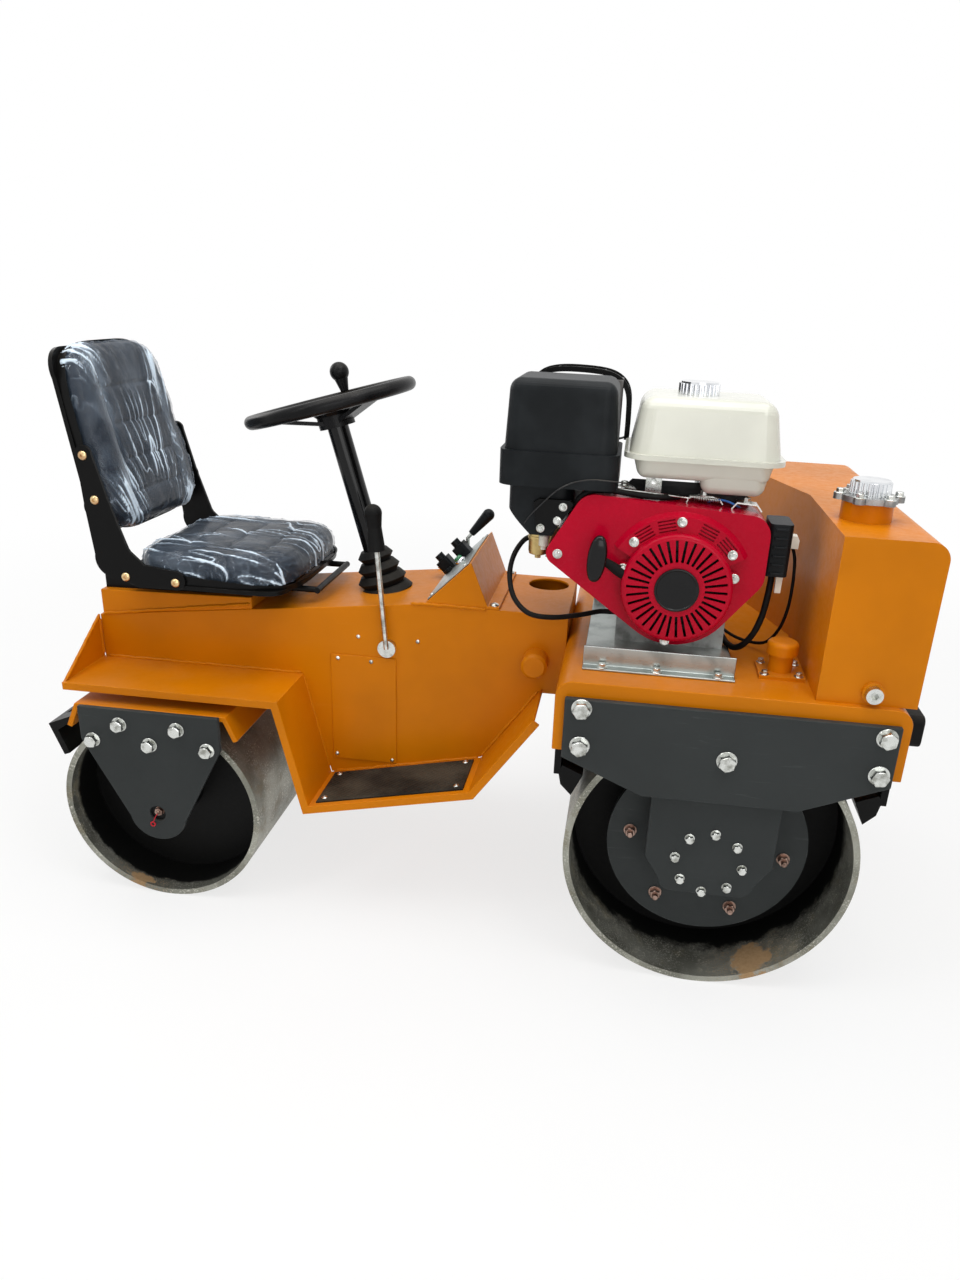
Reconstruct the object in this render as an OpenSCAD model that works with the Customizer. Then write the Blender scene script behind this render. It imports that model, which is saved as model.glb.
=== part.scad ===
// Ride-on double-drum vibratory road roller, a steered rear drum on a yoke.
// Millimetres, +X forward, +Y left, +Z up, origin under the middle of the machine.

/* [Layout] */
// Distance between the two drum axes
wheelbase = 1023; // [1000:1:1150]
// Height of the front deck's top face above the front drum
deck_gap = 66; // [58:1:100]
// Distance from each end of the front drum to the outside of the frame
flange_gap = 12; // [10:1:40]
// Distance from the front drum to the outside of each frame leg
leg_gap = 30; // [28:1:60]
// Width of the box beam that joins front and rear
beam_w = 250; // [220:1:280]

/* [Drums] */
// Diameter of the front drum
front_drum_d = 500; // [440:1:560]
// Width of the front drum
front_drum_w = 700; // [640:1:800]
// Diameter of the rear drum
rear_drum_d = 385; // [350:1:430]
// Width of the rear drum
rear_drum_w = 550; // [480:1:600]
// Thickness of the drum shells
drum_wall = 11; // [8:0.5:16]
// Depth of the recess in each end of the front drum
front_recess = 140; // [120:1:180]
// Depth of the recess in each end of the rear drum
rear_recess = 90; // [60:1:130]
// Running clearance of the axles and the kingpin, on the radius
running_gap = 0.05; // [0.02:0.01:0.1]

/* [Frame] */
// Thickness of the bent front frame plate
frame_t = 20; // [14:1:26]
// Depth of the frame's legs below the deck's top face
leg_drop = 123; // [100:1:150]
// Outside bend radius of the front frame
bend_r = 28; // [22:1:36]
// Thickness of the bolted side plates
side_t = 12; // [8:1:16]
// Thickness of the rubber bumpers on the front leg
bumper_t = 40; // [25:1:60]
// Thickness of the beam's walls
beam_wall = 6; // [4:0.5:10]
// Height of the beam's flat top above the front deck
neck_rise = 31; // [24:1:54]
// Width of each footwell beside the beam
footwell_w = 145; // [120:1:150]
// Thickness of the footwell sheet
sheet_t = 5; // [3:0.5:8]
// Depth of the lip along the footwell's outer edge
lip_h = 15; // [10:1:22]

/* [Yoke] */
// Distance that the rear scraper reaches behind the rear drum
blade_past = 23.5; // [20:0.5:45]
// Length of the yoke's top plate
yoke_len = 290; // [270:1:310]
// Thickness of the yoke's dark side plates
yoke_side_t = 10; // [6:1:14]
// Diameter of the vertical kingpin
kingpin_d = 80; // [60:1:90]
// Diameter of the rear axle
rear_axle_d = 40; // [30:1:50]
// Diameter of the front axle stubs
front_axle_d = 50; // [40:1:60]

/* [Tank and engine] */
// Height of the front tank above the deck
tank_h = 263; // [220:1:280]
// Length of the front tank along its near side
tank_len = 155; // [130:1:165]
// Height of the crankshaft above the engine's feet
crank_h = 133; // [125:1:140]
// Radius of the recoil starter's cover
recoil_r = 90; // [86:1:98]
// Number of radial air slots in the recoil cover
recoil_slots = 34; // [20:1:36]

/* [Driver's place] */
// Width of the seat cushions
seat_w = 344; // [320:1:370]
// Length of the seat cushion
cushion_len = 303; // [290:1:325]
// Height of the back cushion
back_len = 330; // [290:1:350]
// Outer diameter of the steering wheel
wheel_d = 325; // [290:1:350]
// Thickness of the steering wheel's rim
rim_d = 25; // [20:1:30]
// Backward lean of the steering column, in degrees
column_lean = 16; // [10:0.5:20]

/* [Hidden] */
$fn = 64;

// Colours
orange = [0.80, 0.43, 0.07];
charcoal = [0.22, 0.23, 0.25];
black = [0.06, 0.06, 0.07];
steel = [0.62, 0.61, 0.58];
grey = [0.55, 0.56, 0.56];
red = [0.78, 0.03, 0.12];
white = [0.90, 0.89, 0.85];
brass = [0.70, 0.55, 0.25];

// One overrun for all cuts, and the seat gap of pieces that fit without a press
over = 1;
seat_gap = 0.3;

// Drums, and the frame that follows the front one
front_r = front_drum_d / 2;
rear_r = rear_drum_d / 2;
front_half = front_drum_w / 2;
rear_half = rear_drum_w / 2;
deck_h = front_drum_d + deck_gap;
frame_y = front_half + flange_gap;
frame_hx = front_r + leg_gap;
frame_len = 2 * frame_hx;
beam_y = beam_w / 2;

// Axle places, with the machine's middle over the origin
rear_reach = rear_r + blade_past;
front_x = (wheelbase + rear_reach - frame_hx - bumper_t) / 2;
rear_x = front_x - wheelbase;

// Front frame
flange_t = 6;
leg_z = deck_h - leg_drop;
inner_bend_r = bend_r - frame_t;

// Side plates
side_inset = 17;
side_top_gap = 5;
side_top = deck_h - frame_t - side_top_gap;
side_shoulder_drop = 105;
side_bottom_drop = 188;
side_bottom_z = deck_h - side_bottom_drop;
side_bottom_hx = 127;
bracket_t = 12;
pad_t = 12;
bracket_y = frame_y - pad_t;
bracket_top_hx = 108;
bracket_low_hx = 82;
bracket_low = 64;
bracket_tip_r = 24;
pad_hx = 100;
pad_low = 135;
pad_gap = 3;
housing_r = 72;
housing_len = 34;
disc_r = 175;
disc_t = 12;
disc_gap = 14;
axle_stub_past = 14;
buffer_r = 27;
buffer_ring_r = 136;
buffer_count = 6;
web_t = 10;

// Front scrapers and bumpers
scraper_inset = 20;
scraper_half = front_half - scraper_inset;
scraper_angles = [30.5, 29.6, 26.7, 23, 20.7];
scraper_outs = [12, 51, 50, 36, 11];
hanger_low = 131;
hanger_t = 12;
hanger_w = 60;
bumper_drop = 91;
bumper_z = deck_h - bumper_drop;
bumper_h = 55;
bumper_w = 90;
bumper_r = 12;
bumper_inset = 110;
bumper_y = frame_y - bumper_inset;

// Tank
tank_past = 4;
tank_front_x = frame_hx + tank_past;
tank_inset = 12;
tank_near_y = frame_y - tank_inset;
tank_edge_r = 28;
tank_knee = 318;
tank_knee_y = tank_knee - tank_near_y;
tank_far_len = 279;
tank_back_x = tank_front_x - tank_far_len;
neck_r = 40;
neck_h = 30;
neck_back = 98;
neck_x = tank_front_x - neck_back;
neck_inset = 138;
neck_y = tank_near_y - neck_inset;
flange_r = 45;
flange_h = 9;
lobe_r = 10;
lobe_count = 6;
cap_r = 32;
cap_h = 24;
cap_rib_r = 3;
cap_ribs = 24;
drain_back = 72;
drain_x = tank_front_x - drain_back;
drain_z = 22;
drain_boss_r = 17;
drain_boss_h = 6;
drain_r = 13;
drain_h = 12;
drain_socket_r = 6;
drain_socket_h = 8;
breather_gap = 43;
breather_x = tank_front_x - tank_len - breather_gap;
breather_y = 122;
breather_base = 74;
breather_base_t = 6;
breather_r = 20;
breather_h = 30;
breather_cap_r = 26;
breather_cap_h = 22;
breather_edge_r = 8;

// Engine, measured from the crankshaft's axis and the face of the recoil cover
engine_x = -101;
engine_inset = 82;
engine_face_y = engine_inset - frame_y;
tray_t = 8;
tray_wall = 4;
tray_lip_h = 36;
tray_foot = 18;
tray_len = 250;
tray_x = -117;
tray_front = 8;
tray_y0 = engine_face_y - tray_front;
case_x0 = -92;
case_x1 = 96;
case_y0 = 112;
case_y1 = 318;
tray_past = 36;
tray_w = tray_front + case_y1 + tray_past;
tray_y1 = tray_y0 + tray_w;
case_top = 196;
barrel_w = 128;
barrel_len = 215;
barrel_tilt = 20;
barrel_y0 = 130;
barrel_y1 = 262;
fin_t = 5;
fin_step = 13;
fin_out = 9;
fin_count = 8;
fin_start = 118;
pto_r = 60;
pto_len = 16;
shroud_y0 = 26;
shroud_y1 = 112;
shroud_low_r = 102;
shroud_corner_r = 34;
shroud_left = 141;
shroud_right = 105;
shroud_high = 105;
shroud_right_high = 89;
shroud_lobe_x = 196;
shroud_lobe_z = 39;
shroud_lobe_r = 20;
shroud_mid = 24;
shroud_wall = 4;
louvre_angles = [125, 104, 66, 45];
louvre_count = 4;
louvre_len = 28;
louvre_w = 2.6;
louvre_step = 5.5;
louvre_gap = 2.5;
hump_angles = [28, 150];
hump_face = 25;
hump_foot = 32;
hump_h = 11;
ear_r = 10;
ear_h = 13;
ear_angles = [14, 164, 264];
recoil_edge_r = 8;
recoil_wall = 4;
recoil_inner_r = 45;
recoil_outer_r = 81;
slot_w = 4.5;
recoil_disc_r = 36;
recoil_disc_t = 4;
grip_x = -131;
grip_z = 45;
grip_len = 76;
grip_t = 26;
grip_half = (grip_len - grip_t) / 2;
grip_tilt = 5;
grip_neck_r = 7;
fuel_x0 = -96;
fuel_x1 = 144;
fuel_y0 = 34;
fuel_y1 = 236;
fuel_low = 278;
fuel_step_h = 20;
fuel_step_x = 10;
fuel_seam = 330;
fuel_top = 425;
fuel_r = 34;
fuel_top_r = 26;
fuel_taper = 12;
fuel_seam_out = 7;
fuel_seam_t = 8;
fuel_low_inset = 7;
fuel_low_taper = 7;
fuel_sump_inset = 5;
fuel_bracket_x = 24;
fuel_bracket_w = 60;
fuel_cap_r = 33;
fuel_cap_h = 20;
fuel_cap_x = 8;
fuel_cap_y = 96;
cleaner_x0 = -294;
cleaner_x1 = -108;
cleaner_y0 = 24;
cleaner_y1 = 196;
cleaner_low = 196;
cleaner_skirt = 279;
cleaner_mid = 334;
cleaner_top = 443;
cleaner_r = 26;
cleaner_top_r = 20;
cleaner_inset = 18;
cleaner_taper = 5;
cleaner_skirt_out = 6;
cleaner_heel = 40;
carb_w = 54;
shroud_gap = 4;
carb_y0 = 113;
carb_low = 160;
exhaust_x = -180;
exhaust_y = 236;
flywheel_r = 80;
flywheel_back = 18;
bowl_r = 17;
bowl_h = 44;
bowl_x = -236;
bowl_y = 100;
muffler_x0 = -282;
muffler_x1 = -116;
muffler_y0 = 208;
muffler_y1 = 322;
muffler_low = 316;
muffler_top = 432;
muffler_r = 30;
muffler_port_r = 18;
box_w = 37;
box_y0 = 40;
box_y1 = 112;
box_low = 156;
box_top = 242;
box_r = 8;
box_fin_t = 4;
box_fin_out = 5;
box_fin_count = 6;
fin_mid_share = 0.3;
bell_r = 82;
bell_len = 74;
pump_w = 104;
pump_h = 118;
pump_len = 96;
pump_port_r = 15;
pump_port_h = 16;

// Control cable from the carburettor round to the crankcase, by points in the engine's frame
cable_r = 4.5;
cable_sides = 8;
cable_steps = 5;
cable_route = [[-233.6, 123, 176], [-246, 122.5, 175], [-264, 118, 166], [-278, 98, 142], [-280, 74, 112],
  [-268, 56, 80], [-240, 46, 58], [-200, 60, 50], [-156, 92, 48], [-124, 120, 48], [-104, 124, 48],
    [-92.6, 124, 48]];

// Beam, measured from the rear axle where it follows the rear drum, and along its run to the neck's end
neck_x1 = wheelbase - frame_hx;
beam_h = deck_h + neck_rise;
yoke_t = 10;
yoke_gap = 8;
yoke_top_z = rear_drum_d + yoke_gap + yoke_t;
beam_rear = 167;
fender_gap = 34;
fender_z = yoke_top_z + fender_gap;
fender_past = 45.5;
fender_front = rear_r + fender_past;
riser_run = 50;
steep_foot = fender_front + riser_run;
step_low_z = 228;
step_high_z = 293;
step_toe_run = 110;
toe_back = 42;
neck_under = 3;
neck_low_z = leg_z - neck_under;
toe_rise = 9;
toe_z = neck_low_z + toe_rise;
cushion_x0 = -71;
run_x0 = cushion_x0 + cushion_len;
run_len = neck_x1 - run_x0;
slope_share = 0.4677;
slope_x = run_x0 + run_len * slope_share;
rear_wall_h = 86;
slope_rear_z = fender_z + rear_wall_h;
belly_drop = 7;
neck_hole_r = 40;
neck_hole_x = 54;
neck_hole_y = 70;
bore_tube_wall = 22;
thrust_gap = 5;
mat_t = 4;
mat_inset = 12;
panel_gap = 6;
panel_w = 128;
panel_rise = 34;
panel_z0 = step_low_z + panel_rise;
panel_drop = 113;
panel_z1 = beam_h - panel_drop;
panel_t = 3;
boss_x = 55;
boss_drop = 91;
boss_z = beam_h - boss_drop;
boss_r = 24;
boss_len = 40;
boss_edge = 5;

// Seat, measured from the rear axle
seat_base_x0 = -160;
seat_base_x1 = 142;
seat_base_h = 23;
seat_base_fall = 8;
rail_w = 34;
rail_h = 22;
rail_y = 92;
rail_x0 = -156;
rail_x1 = 132;
rail_bar_r = 6;
rail_bar_past = 130;
pan_t = 8;
pan_r = 40;
pan_x0 = -85;
pan_x1 = 222;
cushion_h = 58;
cushion_r = 48;
cushion_edge_r = 26;
cushion_taper = 4;
back_up = 22;
back_t = 46;
back_lean = 12.5;
back_r = 46;
back_edge_r = 22;
back_taper = 5;
back_narrow = 24;
back_foot_x = -115;
shell_t = 8;
shell_r = 44;
arm_t = 6;
arm_gap = 4;
arm_xs = [-127, -112, -92, -44, 23];
arm_rises = [237, 143, 49, 21, 17];
arm_rs = [15, 25, 36, 23, 18];

// Console and controls
console_rear_share = 0.475;
console_ridge_share = 0.644;
console_front_share = 0.711;
console_foot = 20;
console_h = 86;
dash_t = 3;
dash_inset = 8;
switch_w = 32;
switch_len = 28;
switch_h = 26;
switch_r = 5;
key_r = 9;
key_h = 12;
lamp_r = 8;
lamp_h = 7;
switch_y_share = 0.48;
switch_shares = [0.2, 0.56];
lamp_y_share = 0.2;
lamp_shares = [0.24, 0.5];
throttle_x_share = 0.5;
throttle_y = 85;
throttle_rise = 36;
throttle_rod_r = 4;
throttle_len = 12;
throttle_lean = 39.5;
throttle_grip_r = 12;
throttle_neck_r = 7;
throttle_grip_len = 64;
lever_share = 0.34;
lever_x = run_x0 + run_len * lever_share;
lever_drop = 91;
lever_z = beam_h - lever_drop;
lever_disc_r = 17;
lever_disc_t = 12;
lever_rod_r = 5;
lever_rod_len = 190;
lever_lean = 5;
lever_grip_r = 16;
lever_waist_r = 13;
lever_grip_len = 84;
column_share = 0.266;
column_x = run_x0 + run_len * column_share;
column_d = 40;
boot_rings = 4;
boot_low_r = 46;
boot_high_r = 26;
boot_h = 96;
boot_ring_out = 9;
column_foot = 18;
wheel_along = 362;
hub_r = 34;
hub_h = 34;
hub_cup_r = 46;
hub_cup_h = 12;
hub_below = 44;
shaft_r = 12;
shaft_into = 36;
column_len = wheel_along - hub_below - seat_gap;
spoke_w = 38;
spoke_t = 7;
spoke_count = 3;
spoke_first = 90;
knob_angle = 96;
knob_stem_r = 8;
knob_neck_r = 14;
knob_stem_h = 26;
knob_r = 19;

// Yoke and rear drum
yoke_face_drop = 46;
yoke_face_out = 20;
yoke_side_gap = 8;
yoke_plate_hx = 134;
yoke_plate_drop = 66;
yoke_tip_r = 56;
tip_share = 0.96;
hub_hole_r = 15;
rear_hub_r = 42;
rear_hub_len = 26;
kingpin_len = 96;
rear_blade_t = 12;
rear_blade_gap = 8;
rear_blade_angle = 25;
rear_arm_share = 0.3;
rear_blade_inset = 13;
rear_blade_half = rear_half - rear_blade_inset;
rear_blade_drop = 40;
rear_blade_z = rear_drum_d - rear_blade_drop;
rear_arm_w = 40;
rear_arm_t = 12;
yoke_y = rear_half + yoke_side_gap;

// Geometry helpers
function unit(v) = v / norm(v);
function left_of(v) = [-v[1], v[0]];
function mitre(a, b, c, d) = let (u = left_of(unit(b - a)), w = left_of(unit(c - b)), n = unit(u + w))
  b + n * d / (n * u);
function side_line(pts, d) = let (last = len(pts) - 1) [for (i = [0:last])
  i == 0 ? pts[0] + left_of(unit(pts[1] - pts[0])) * d
  : i == last ? pts[last] + left_of(unit(pts[last] - pts[last - 1])) * d
  : mitre(pts[i - 1], pts[i], pts[i + 1], d)];
function strip(pts, d) = let (other = side_line(pts, d), last = len(pts) - 1)
  concat(pts, [for (i = [0:last]) other[last - i]]);
function overrun(pts) = let (last = len(pts) - 1) [for (i = [0:last])
  i == 0 ? pts[0] - unit(pts[1] - pts[0]) * over
  : i == last ? pts[last] + unit(pts[last] - pts[last - 1]) * over : pts[i]];
function inset(pts, d) = let (n = len(pts))
  [for (i = [0:n - 1]) mitre(pts[(i + n - 1) % n], pts[i], pts[(i + 1) % n], d)];
function mix(a, b, share) = a + (b - a) * share;

// Draws an outline given in X and Z and gives it a thickness from y0 to y1
module along_y(y0, y1) {
  translate([0, y1, 0]) rotate([90, 0, 0]) linear_extrude(y1 - y0) children();
}
module at_front() { translate([front_x, 0, 0]) children(); }
module at_rear() { translate([rear_x, 0, 0]) children(); }
module both_sides() {
  children();
  mirror([0, 1, 0]) children();
}
module round_rect(w, h, r) {
  translate([r, 0]) square([w - 2 * r, h]);
  translate([0, r]) square([w, h - 2 * r]);
  for (x = [r, w - r], y = [r, h - r]) translate([x, y]) circle(r);
}
module round_box(a, b, r) {
  translate([a[0], a[1], a[2]]) linear_extrude(b[2] - a[2]) round_rect(b[0] - a[0], b[1] - a[1], r);
}
module rod_y(x, z, r, y0, y1) {
  translate([x, y0, z]) rotate([-90, 0, 0]) cylinder(h = y1 - y0, r = r);
}
module at_engine() { translate([front_x + engine_x, engine_face_y, deck_h + tray_t]) children(); }

// Front frame: a plate bent to an arch, closed by an end flange at each side
module front_frame() {
  color(orange) at_front() difference() {
    union() {
      along_y(-frame_y, frame_y) difference() {
        translate([-frame_hx, leg_z - bend_r]) round_rect(frame_len, leg_drop + bend_r, bend_r);
        translate([-frame_hx + frame_t, leg_z - bend_r - over])
          round_rect(frame_len - 2 * frame_t, leg_drop + bend_r + over - frame_t, inner_bend_r);
        translate([-frame_hx - over, leg_z - 2 * bend_r]) square([frame_len + 2 * over, 2 * bend_r]);
      }
      both_sides() along_y(-frame_y, -frame_y + flange_t)
        translate([-frame_hx + frame_t / 2, leg_z]) square([frame_len - frame_t, leg_drop - frame_t / 2]);
    }
  }
}

// Side plate: the bolted outer plate, its pad and the bracket that carries the drum
module side_plate() {
  shoulder = side_top - side_shoulder_drop;
  hx = frame_hx - side_inset;
  pad_top = leg_z - pad_gap;
  at_front() {
    along_y(-frame_y - side_t, -frame_y) polygon([[-hx, side_top], [-hx, shoulder],
      [-side_bottom_hx, side_bottom_z], [side_bottom_hx, side_bottom_z], [hx, shoulder], [hx, side_top]]);
    along_y(-frame_y, -bracket_y) translate([-pad_hx, front_r + pad_low])
      square([2 * pad_hx, pad_top - front_r - pad_low]);
    along_y(-bracket_y, -bracket_y + bracket_t) {
      polygon([[-bracket_top_hx, pad_top], [-bracket_top_hx, front_r],
        [-bracket_low_hx, front_r - bracket_low + bracket_tip_r], [-bracket_low_hx + bracket_tip_r,
        front_r - bracket_low], [bracket_low_hx - bracket_tip_r, front_r - bracket_low],
        [bracket_low_hx, front_r - bracket_low + bracket_tip_r], [bracket_top_hx, front_r],
        [bracket_top_hx, pad_top]]);
      for (s = [-1, 1]) translate([s * (bracket_low_hx - bracket_tip_r),
        front_r - bracket_low + bracket_tip_r])
        circle(bracket_tip_r);
    }
  }
}
module side_plate_right() { color(charcoal) side_plate(); }
module side_plate_left() { color(charcoal) mirror([0, 1, 0]) side_plate(); }

// Fixed housing behind the bracket, with the stub that the drum turns on
housing_y0 = bracket_y - bracket_t;
disc_y = housing_y0 - housing_len - disc_gap;
module axle_housing() {
  at_front() {
    rod_y(0, front_r, housing_r, -housing_y0, -housing_y0 + housing_len);
    rod_y(0, front_r, front_axle_d / 2, -housing_y0, -disc_y + disc_t + axle_stub_past);
  }
}
module axle_housing_right() { color(black) axle_housing(); }
module axle_housing_left() { color(black) mirror([0, 1, 0]) axle_housing(); }

// Front drum: a rolled shell with two webs and the rubber buffers on them
web_y = front_half - front_recess;
module front_drum() {
  color(steel) at_front() {
    translate([0, front_half, front_r]) rotate([90, 0, 0]) difference() {
      cylinder(h = front_drum_w, r = front_r, $fn = 128);
      translate([0, 0, -over]) cylinder(h = front_drum_w + 2 * over, r = front_r - drum_wall, $fn = 128);
    }
    both_sides() {
      rod_y(0, front_r, front_r - drum_wall / 2, -web_y, -web_y + web_t);
      for (i = [0:buffer_count - 1]) rotate_about_axle(i * 360 / buffer_count)
        rod_y(buffer_ring_r, front_r, buffer_r, -disc_y + disc_t, -web_y + web_t / 2);
    }
  }
}
module rotate_about_axle(a) {
  translate([0, 0, front_r]) rotate([0, a, 0]) translate([0, 0, -front_r]) children();
}
// Disc that the buffers carry and that runs on the axle stub
module buffer_disc() {
  at_front() difference() {
    rod_y(0, front_r, disc_r, -disc_y, -disc_y + disc_t);
    rod_y(0, front_r, front_axle_d / 2 + running_gap, -disc_y - over, -disc_y + disc_t + over);
  }
}
module buffer_disc_right() { color(charcoal) buffer_disc(); }
module buffer_disc_left() { color(charcoal) mirror([0, 1, 0]) buffer_disc(); }

// Scrapers ahead of and behind the front drum, hung under the frame's legs
module front_scrapers() {
  leg_mid = frame_hx - frame_t / 2;
  color(black) at_front() for (s = [0, 1]) mirror([s, 0, 0]) {
    along_y(-scraper_half, scraper_half) polygon([for (i = [0:len(scraper_angles) - 1])
      on_circle(front_r + scraper_outs[i], scraper_angles[i]) + [0, front_r]]);
    both_sides() along_y(-scraper_half, -scraper_half + hanger_w)
      translate([leg_mid - hanger_t / 2, front_r + hanger_low])
        square([hanger_t, leg_z - front_r - hanger_low]);
  }
}

module bumpers() {
  color(black) at_front() both_sides() translate([frame_hx, -bumper_y - bumper_w / 2, bumper_z])
    rotate([90, 0, 90]) linear_extrude(bumper_t) round_rect(bumper_w, bumper_h, bumper_r);
}

// Tank across the front of the deck, deeper on the far side
module tank() {
  near_x = tank_front_x - tank_len;
  color(orange) at_front() {
    intersection() {
      translate([0, 0, deck_h]) linear_extrude(tank_h) polygon([[near_x, -tank_near_y],
        [tank_front_x, -tank_near_y], [tank_front_x, tank_near_y], [tank_back_x, tank_near_y],
        [near_x, tank_knee_y]]);
      along_y(-frame_y, frame_y) {
        translate([tank_back_x - over, deck_h])
          square([tank_front_x - tank_back_x - tank_edge_r + over, tank_h]);
        translate([tank_back_x, deck_h]) square([tank_front_x - tank_back_x, tank_h - tank_edge_r]);
        translate([tank_front_x - tank_edge_r, deck_h + tank_h - tank_edge_r]) circle(tank_edge_r);
      }
    }
    translate([neck_x, -neck_y, deck_h + tank_h - over]) cylinder(h = neck_h + over, r = neck_r);
    rod_y(drain_x, deck_h + drain_z, drain_boss_r, -tank_near_y - drain_boss_h, -tank_near_y + over);
  }
}
neck_top = deck_h + tank_h + neck_h;
module tank_filler() {
  color(steel) at_front() translate([neck_x, -neck_y, neck_top]) {
    cylinder(h = flange_h, r = flange_r);
    for (i = [0:lobe_count - 1]) rotate(i * 360 / lobe_count) translate([flange_r, 0, 0])
      cylinder(h = flange_h, r = lobe_r);
  }
}
module tank_cap() {
  color(steel) at_front() translate([neck_x, -neck_y, neck_top + flange_h]) {
    cylinder(h = cap_h, r = cap_r - cap_rib_r);
    for (i = [0:cap_ribs - 1]) rotate(i * 360 / cap_ribs) translate([cap_r - cap_rib_r, 0, 0])
      cylinder(h = cap_h - cap_rib_r, r = cap_rib_r);
  }
}
module drain_plug() {
  face = -tank_near_y - drain_boss_h;
  color(steel) at_front() difference() {
    rod_y(drain_x, deck_h + drain_z, drain_r, face - drain_h, face);
    translate([drain_x, face - drain_h + drain_socket_h, deck_h + drain_z]) rotate([90, 0, 0])
      cylinder(h = drain_socket_h + over, r = drain_socket_r, $fn = 6);
  }
}
module breather() {
  color(orange) at_front() translate([breather_x, -frame_y + breather_y, deck_h]) {
    translate([-breather_base / 2, -breather_base / 2, 0])
      cube([breather_base, breather_base, breather_base_t]);
    cylinder(h = breather_base_t + breather_h, r = breather_r);
    translate([0, 0, breather_base_t + breather_h]) dished(breather_cap_r, breather_cap_h, breather_edge_r);
  }
}

// Engine tray: a folded sheet on the deck, with an upstand and a bolting foot along each long edge
module engine_tray() {
  color(grey) at_front() translate([tray_x - tray_len / 2, 0, deck_h]) {
    translate([0, tray_y0, 0]) cube([tray_len, tray_w, tray_t]);
    for (y = [tray_y0, tray_y1 - tray_wall]) translate([0, y, 0]) cube([tray_len, tray_wall, tray_lip_h]);
    for (y = [tray_y0 - tray_foot, tray_y1]) translate([0, y, 0]) cube([tray_len, tray_foot, tray_wall]);
  }
}
// Crankcase with the inclined finned barrel, its head, the exhaust stub and the tank post
module engine_block() {
  color(grey) at_engine() {
    translate([case_x0, case_y0, 0]) cube([case_x1 - case_x0, case_y1 - case_y0, case_top]);
    translate([0, 0, crank_h]) rotate([0, 180 + barrel_tilt, 0]) {
      translate([0, barrel_y0, -barrel_w / 2]) cube([barrel_len, barrel_y1 - barrel_y0, barrel_w]);
      for (i = [0:fin_count - 1]) translate([fin_start + i * fin_step, barrel_y0, -barrel_w / 2 - fin_out])
        cube([fin_t, barrel_y1 - barrel_y0 + fin_out, barrel_w + 2 * fin_out]);
    }
    translate([exhaust_x, exhaust_y, crank_h]) cylinder(h = muffler_low - crank_h, r = muffler_port_r);
    translate([fuel_bracket_x, fuel_y0 + fuel_low_inset + case_y0, case_top])
      cube([fuel_bracket_w, fuel_y1 - fuel_y0 - 2 * fuel_low_inset - case_y0, fuel_low - case_top]);
    rod_y(0, crank_h, pto_r, case_y1, case_y1 + pto_len);
    rod_y(0, crank_h, flywheel_r, shroud_y0 + flywheel_back, case_y0);
  }
}

// Blower shroud: a moulded shell with louvres, open to the recoil cover
module shroud_outline(shrink) {
  hull() {
    translate([0, crank_h]) circle(shroud_low_r - shrink, $fn = 48);
    translate([-shroud_left, crank_h + shroud_high]) circle(shroud_corner_r - shrink, $fn = 32);
    translate([-shroud_lobe_x, crank_h + shroud_lobe_z]) circle(shroud_lobe_r - shrink, $fn = 32);
    translate([shroud_right, crank_h + shroud_right_high]) circle(shroud_corner_r - shrink, $fn = 32);
    translate([shroud_right, crank_h + shroud_mid]) circle(shroud_corner_r - shrink, $fn = 32);
  }
}
module fan_shroud() {
  color(red) at_engine() difference() {
    along_y(shroud_y0, shroud_y1) shroud_outline(0);
    along_y(shroud_y0 + shroud_wall, shroud_y1 + over) shroud_outline(shroud_wall);
    rod_y(0, crank_h, recoil_r - recoil_edge_r, shroud_y0 - over, shroud_y0 + shroud_wall + over);
  }
}
// Recoil cover: a dished cover with a ring of radial slots, a louvred hump over its top and three bolt ears
module dished(r, h, edge) {
  rotate_extrude($fn = 96) {
    square([r - edge, h]);
    square([r, h - edge]);
    intersection() {
      translate([r - edge, h - edge]) circle(edge);
      square([r, h]);
    }
  }
}
function on_circle(r, a) = r * [cos(a), sin(a)];
module louvre_hump() {
  in_r = recoil_r - recoil_wall / 2;
  far = 2 * (recoil_r + hump_foot);
  intersection() {
    rotate_extrude($fn = 96) polygon([[in_r, 0], [in_r, hump_h], [recoil_r + hump_face, hump_h],
      [recoil_r + hump_foot, 0]]);
    translate([0, 0, -over]) linear_extrude(hump_h + 2 * over)
      polygon([[0, 0], on_circle(far, hump_angles[0]),
      [far, far], [-far, far], on_circle(far, hump_angles[1])]);
  }
}
module recoil_cover() {
  color(red) at_engine() translate([0, shroud_y0, crank_h]) rotate([90, 0, 0]) difference() {
    union() {
      dished(recoil_r, shroud_y0, recoil_edge_r);
      louvre_hump();
      for (a = ear_angles) rotate(a) translate([recoil_r, 0, 0]) cylinder(h = ear_h, r = ear_r);
    }
    translate([0, 0, -recoil_wall]) dished(recoil_r - recoil_wall, shroud_y0, recoil_edge_r - recoil_wall);
    for (i = [0:recoil_slots - 1]) rotate(i * 360 / recoil_slots)
      translate([recoil_inner_r, -slot_w / 2, shroud_y0 - 2 * recoil_wall])
        cube([recoil_outer_r - recoil_inner_r, slot_w, 3 * recoil_wall]);
    for (a = louvre_angles, i = [0:louvre_count - 1]) rotate(a)
      translate([recoil_r + louvre_gap + i * louvre_step, -louvre_len / 2, hump_h / 2])
        cube([louvre_w, louvre_len, hump_h]);
  }
}
module recoil_disc() {
  color(black) at_engine() rod_y(0, crank_h, recoil_disc_r, -recoil_disc_t, 0);
}
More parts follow.
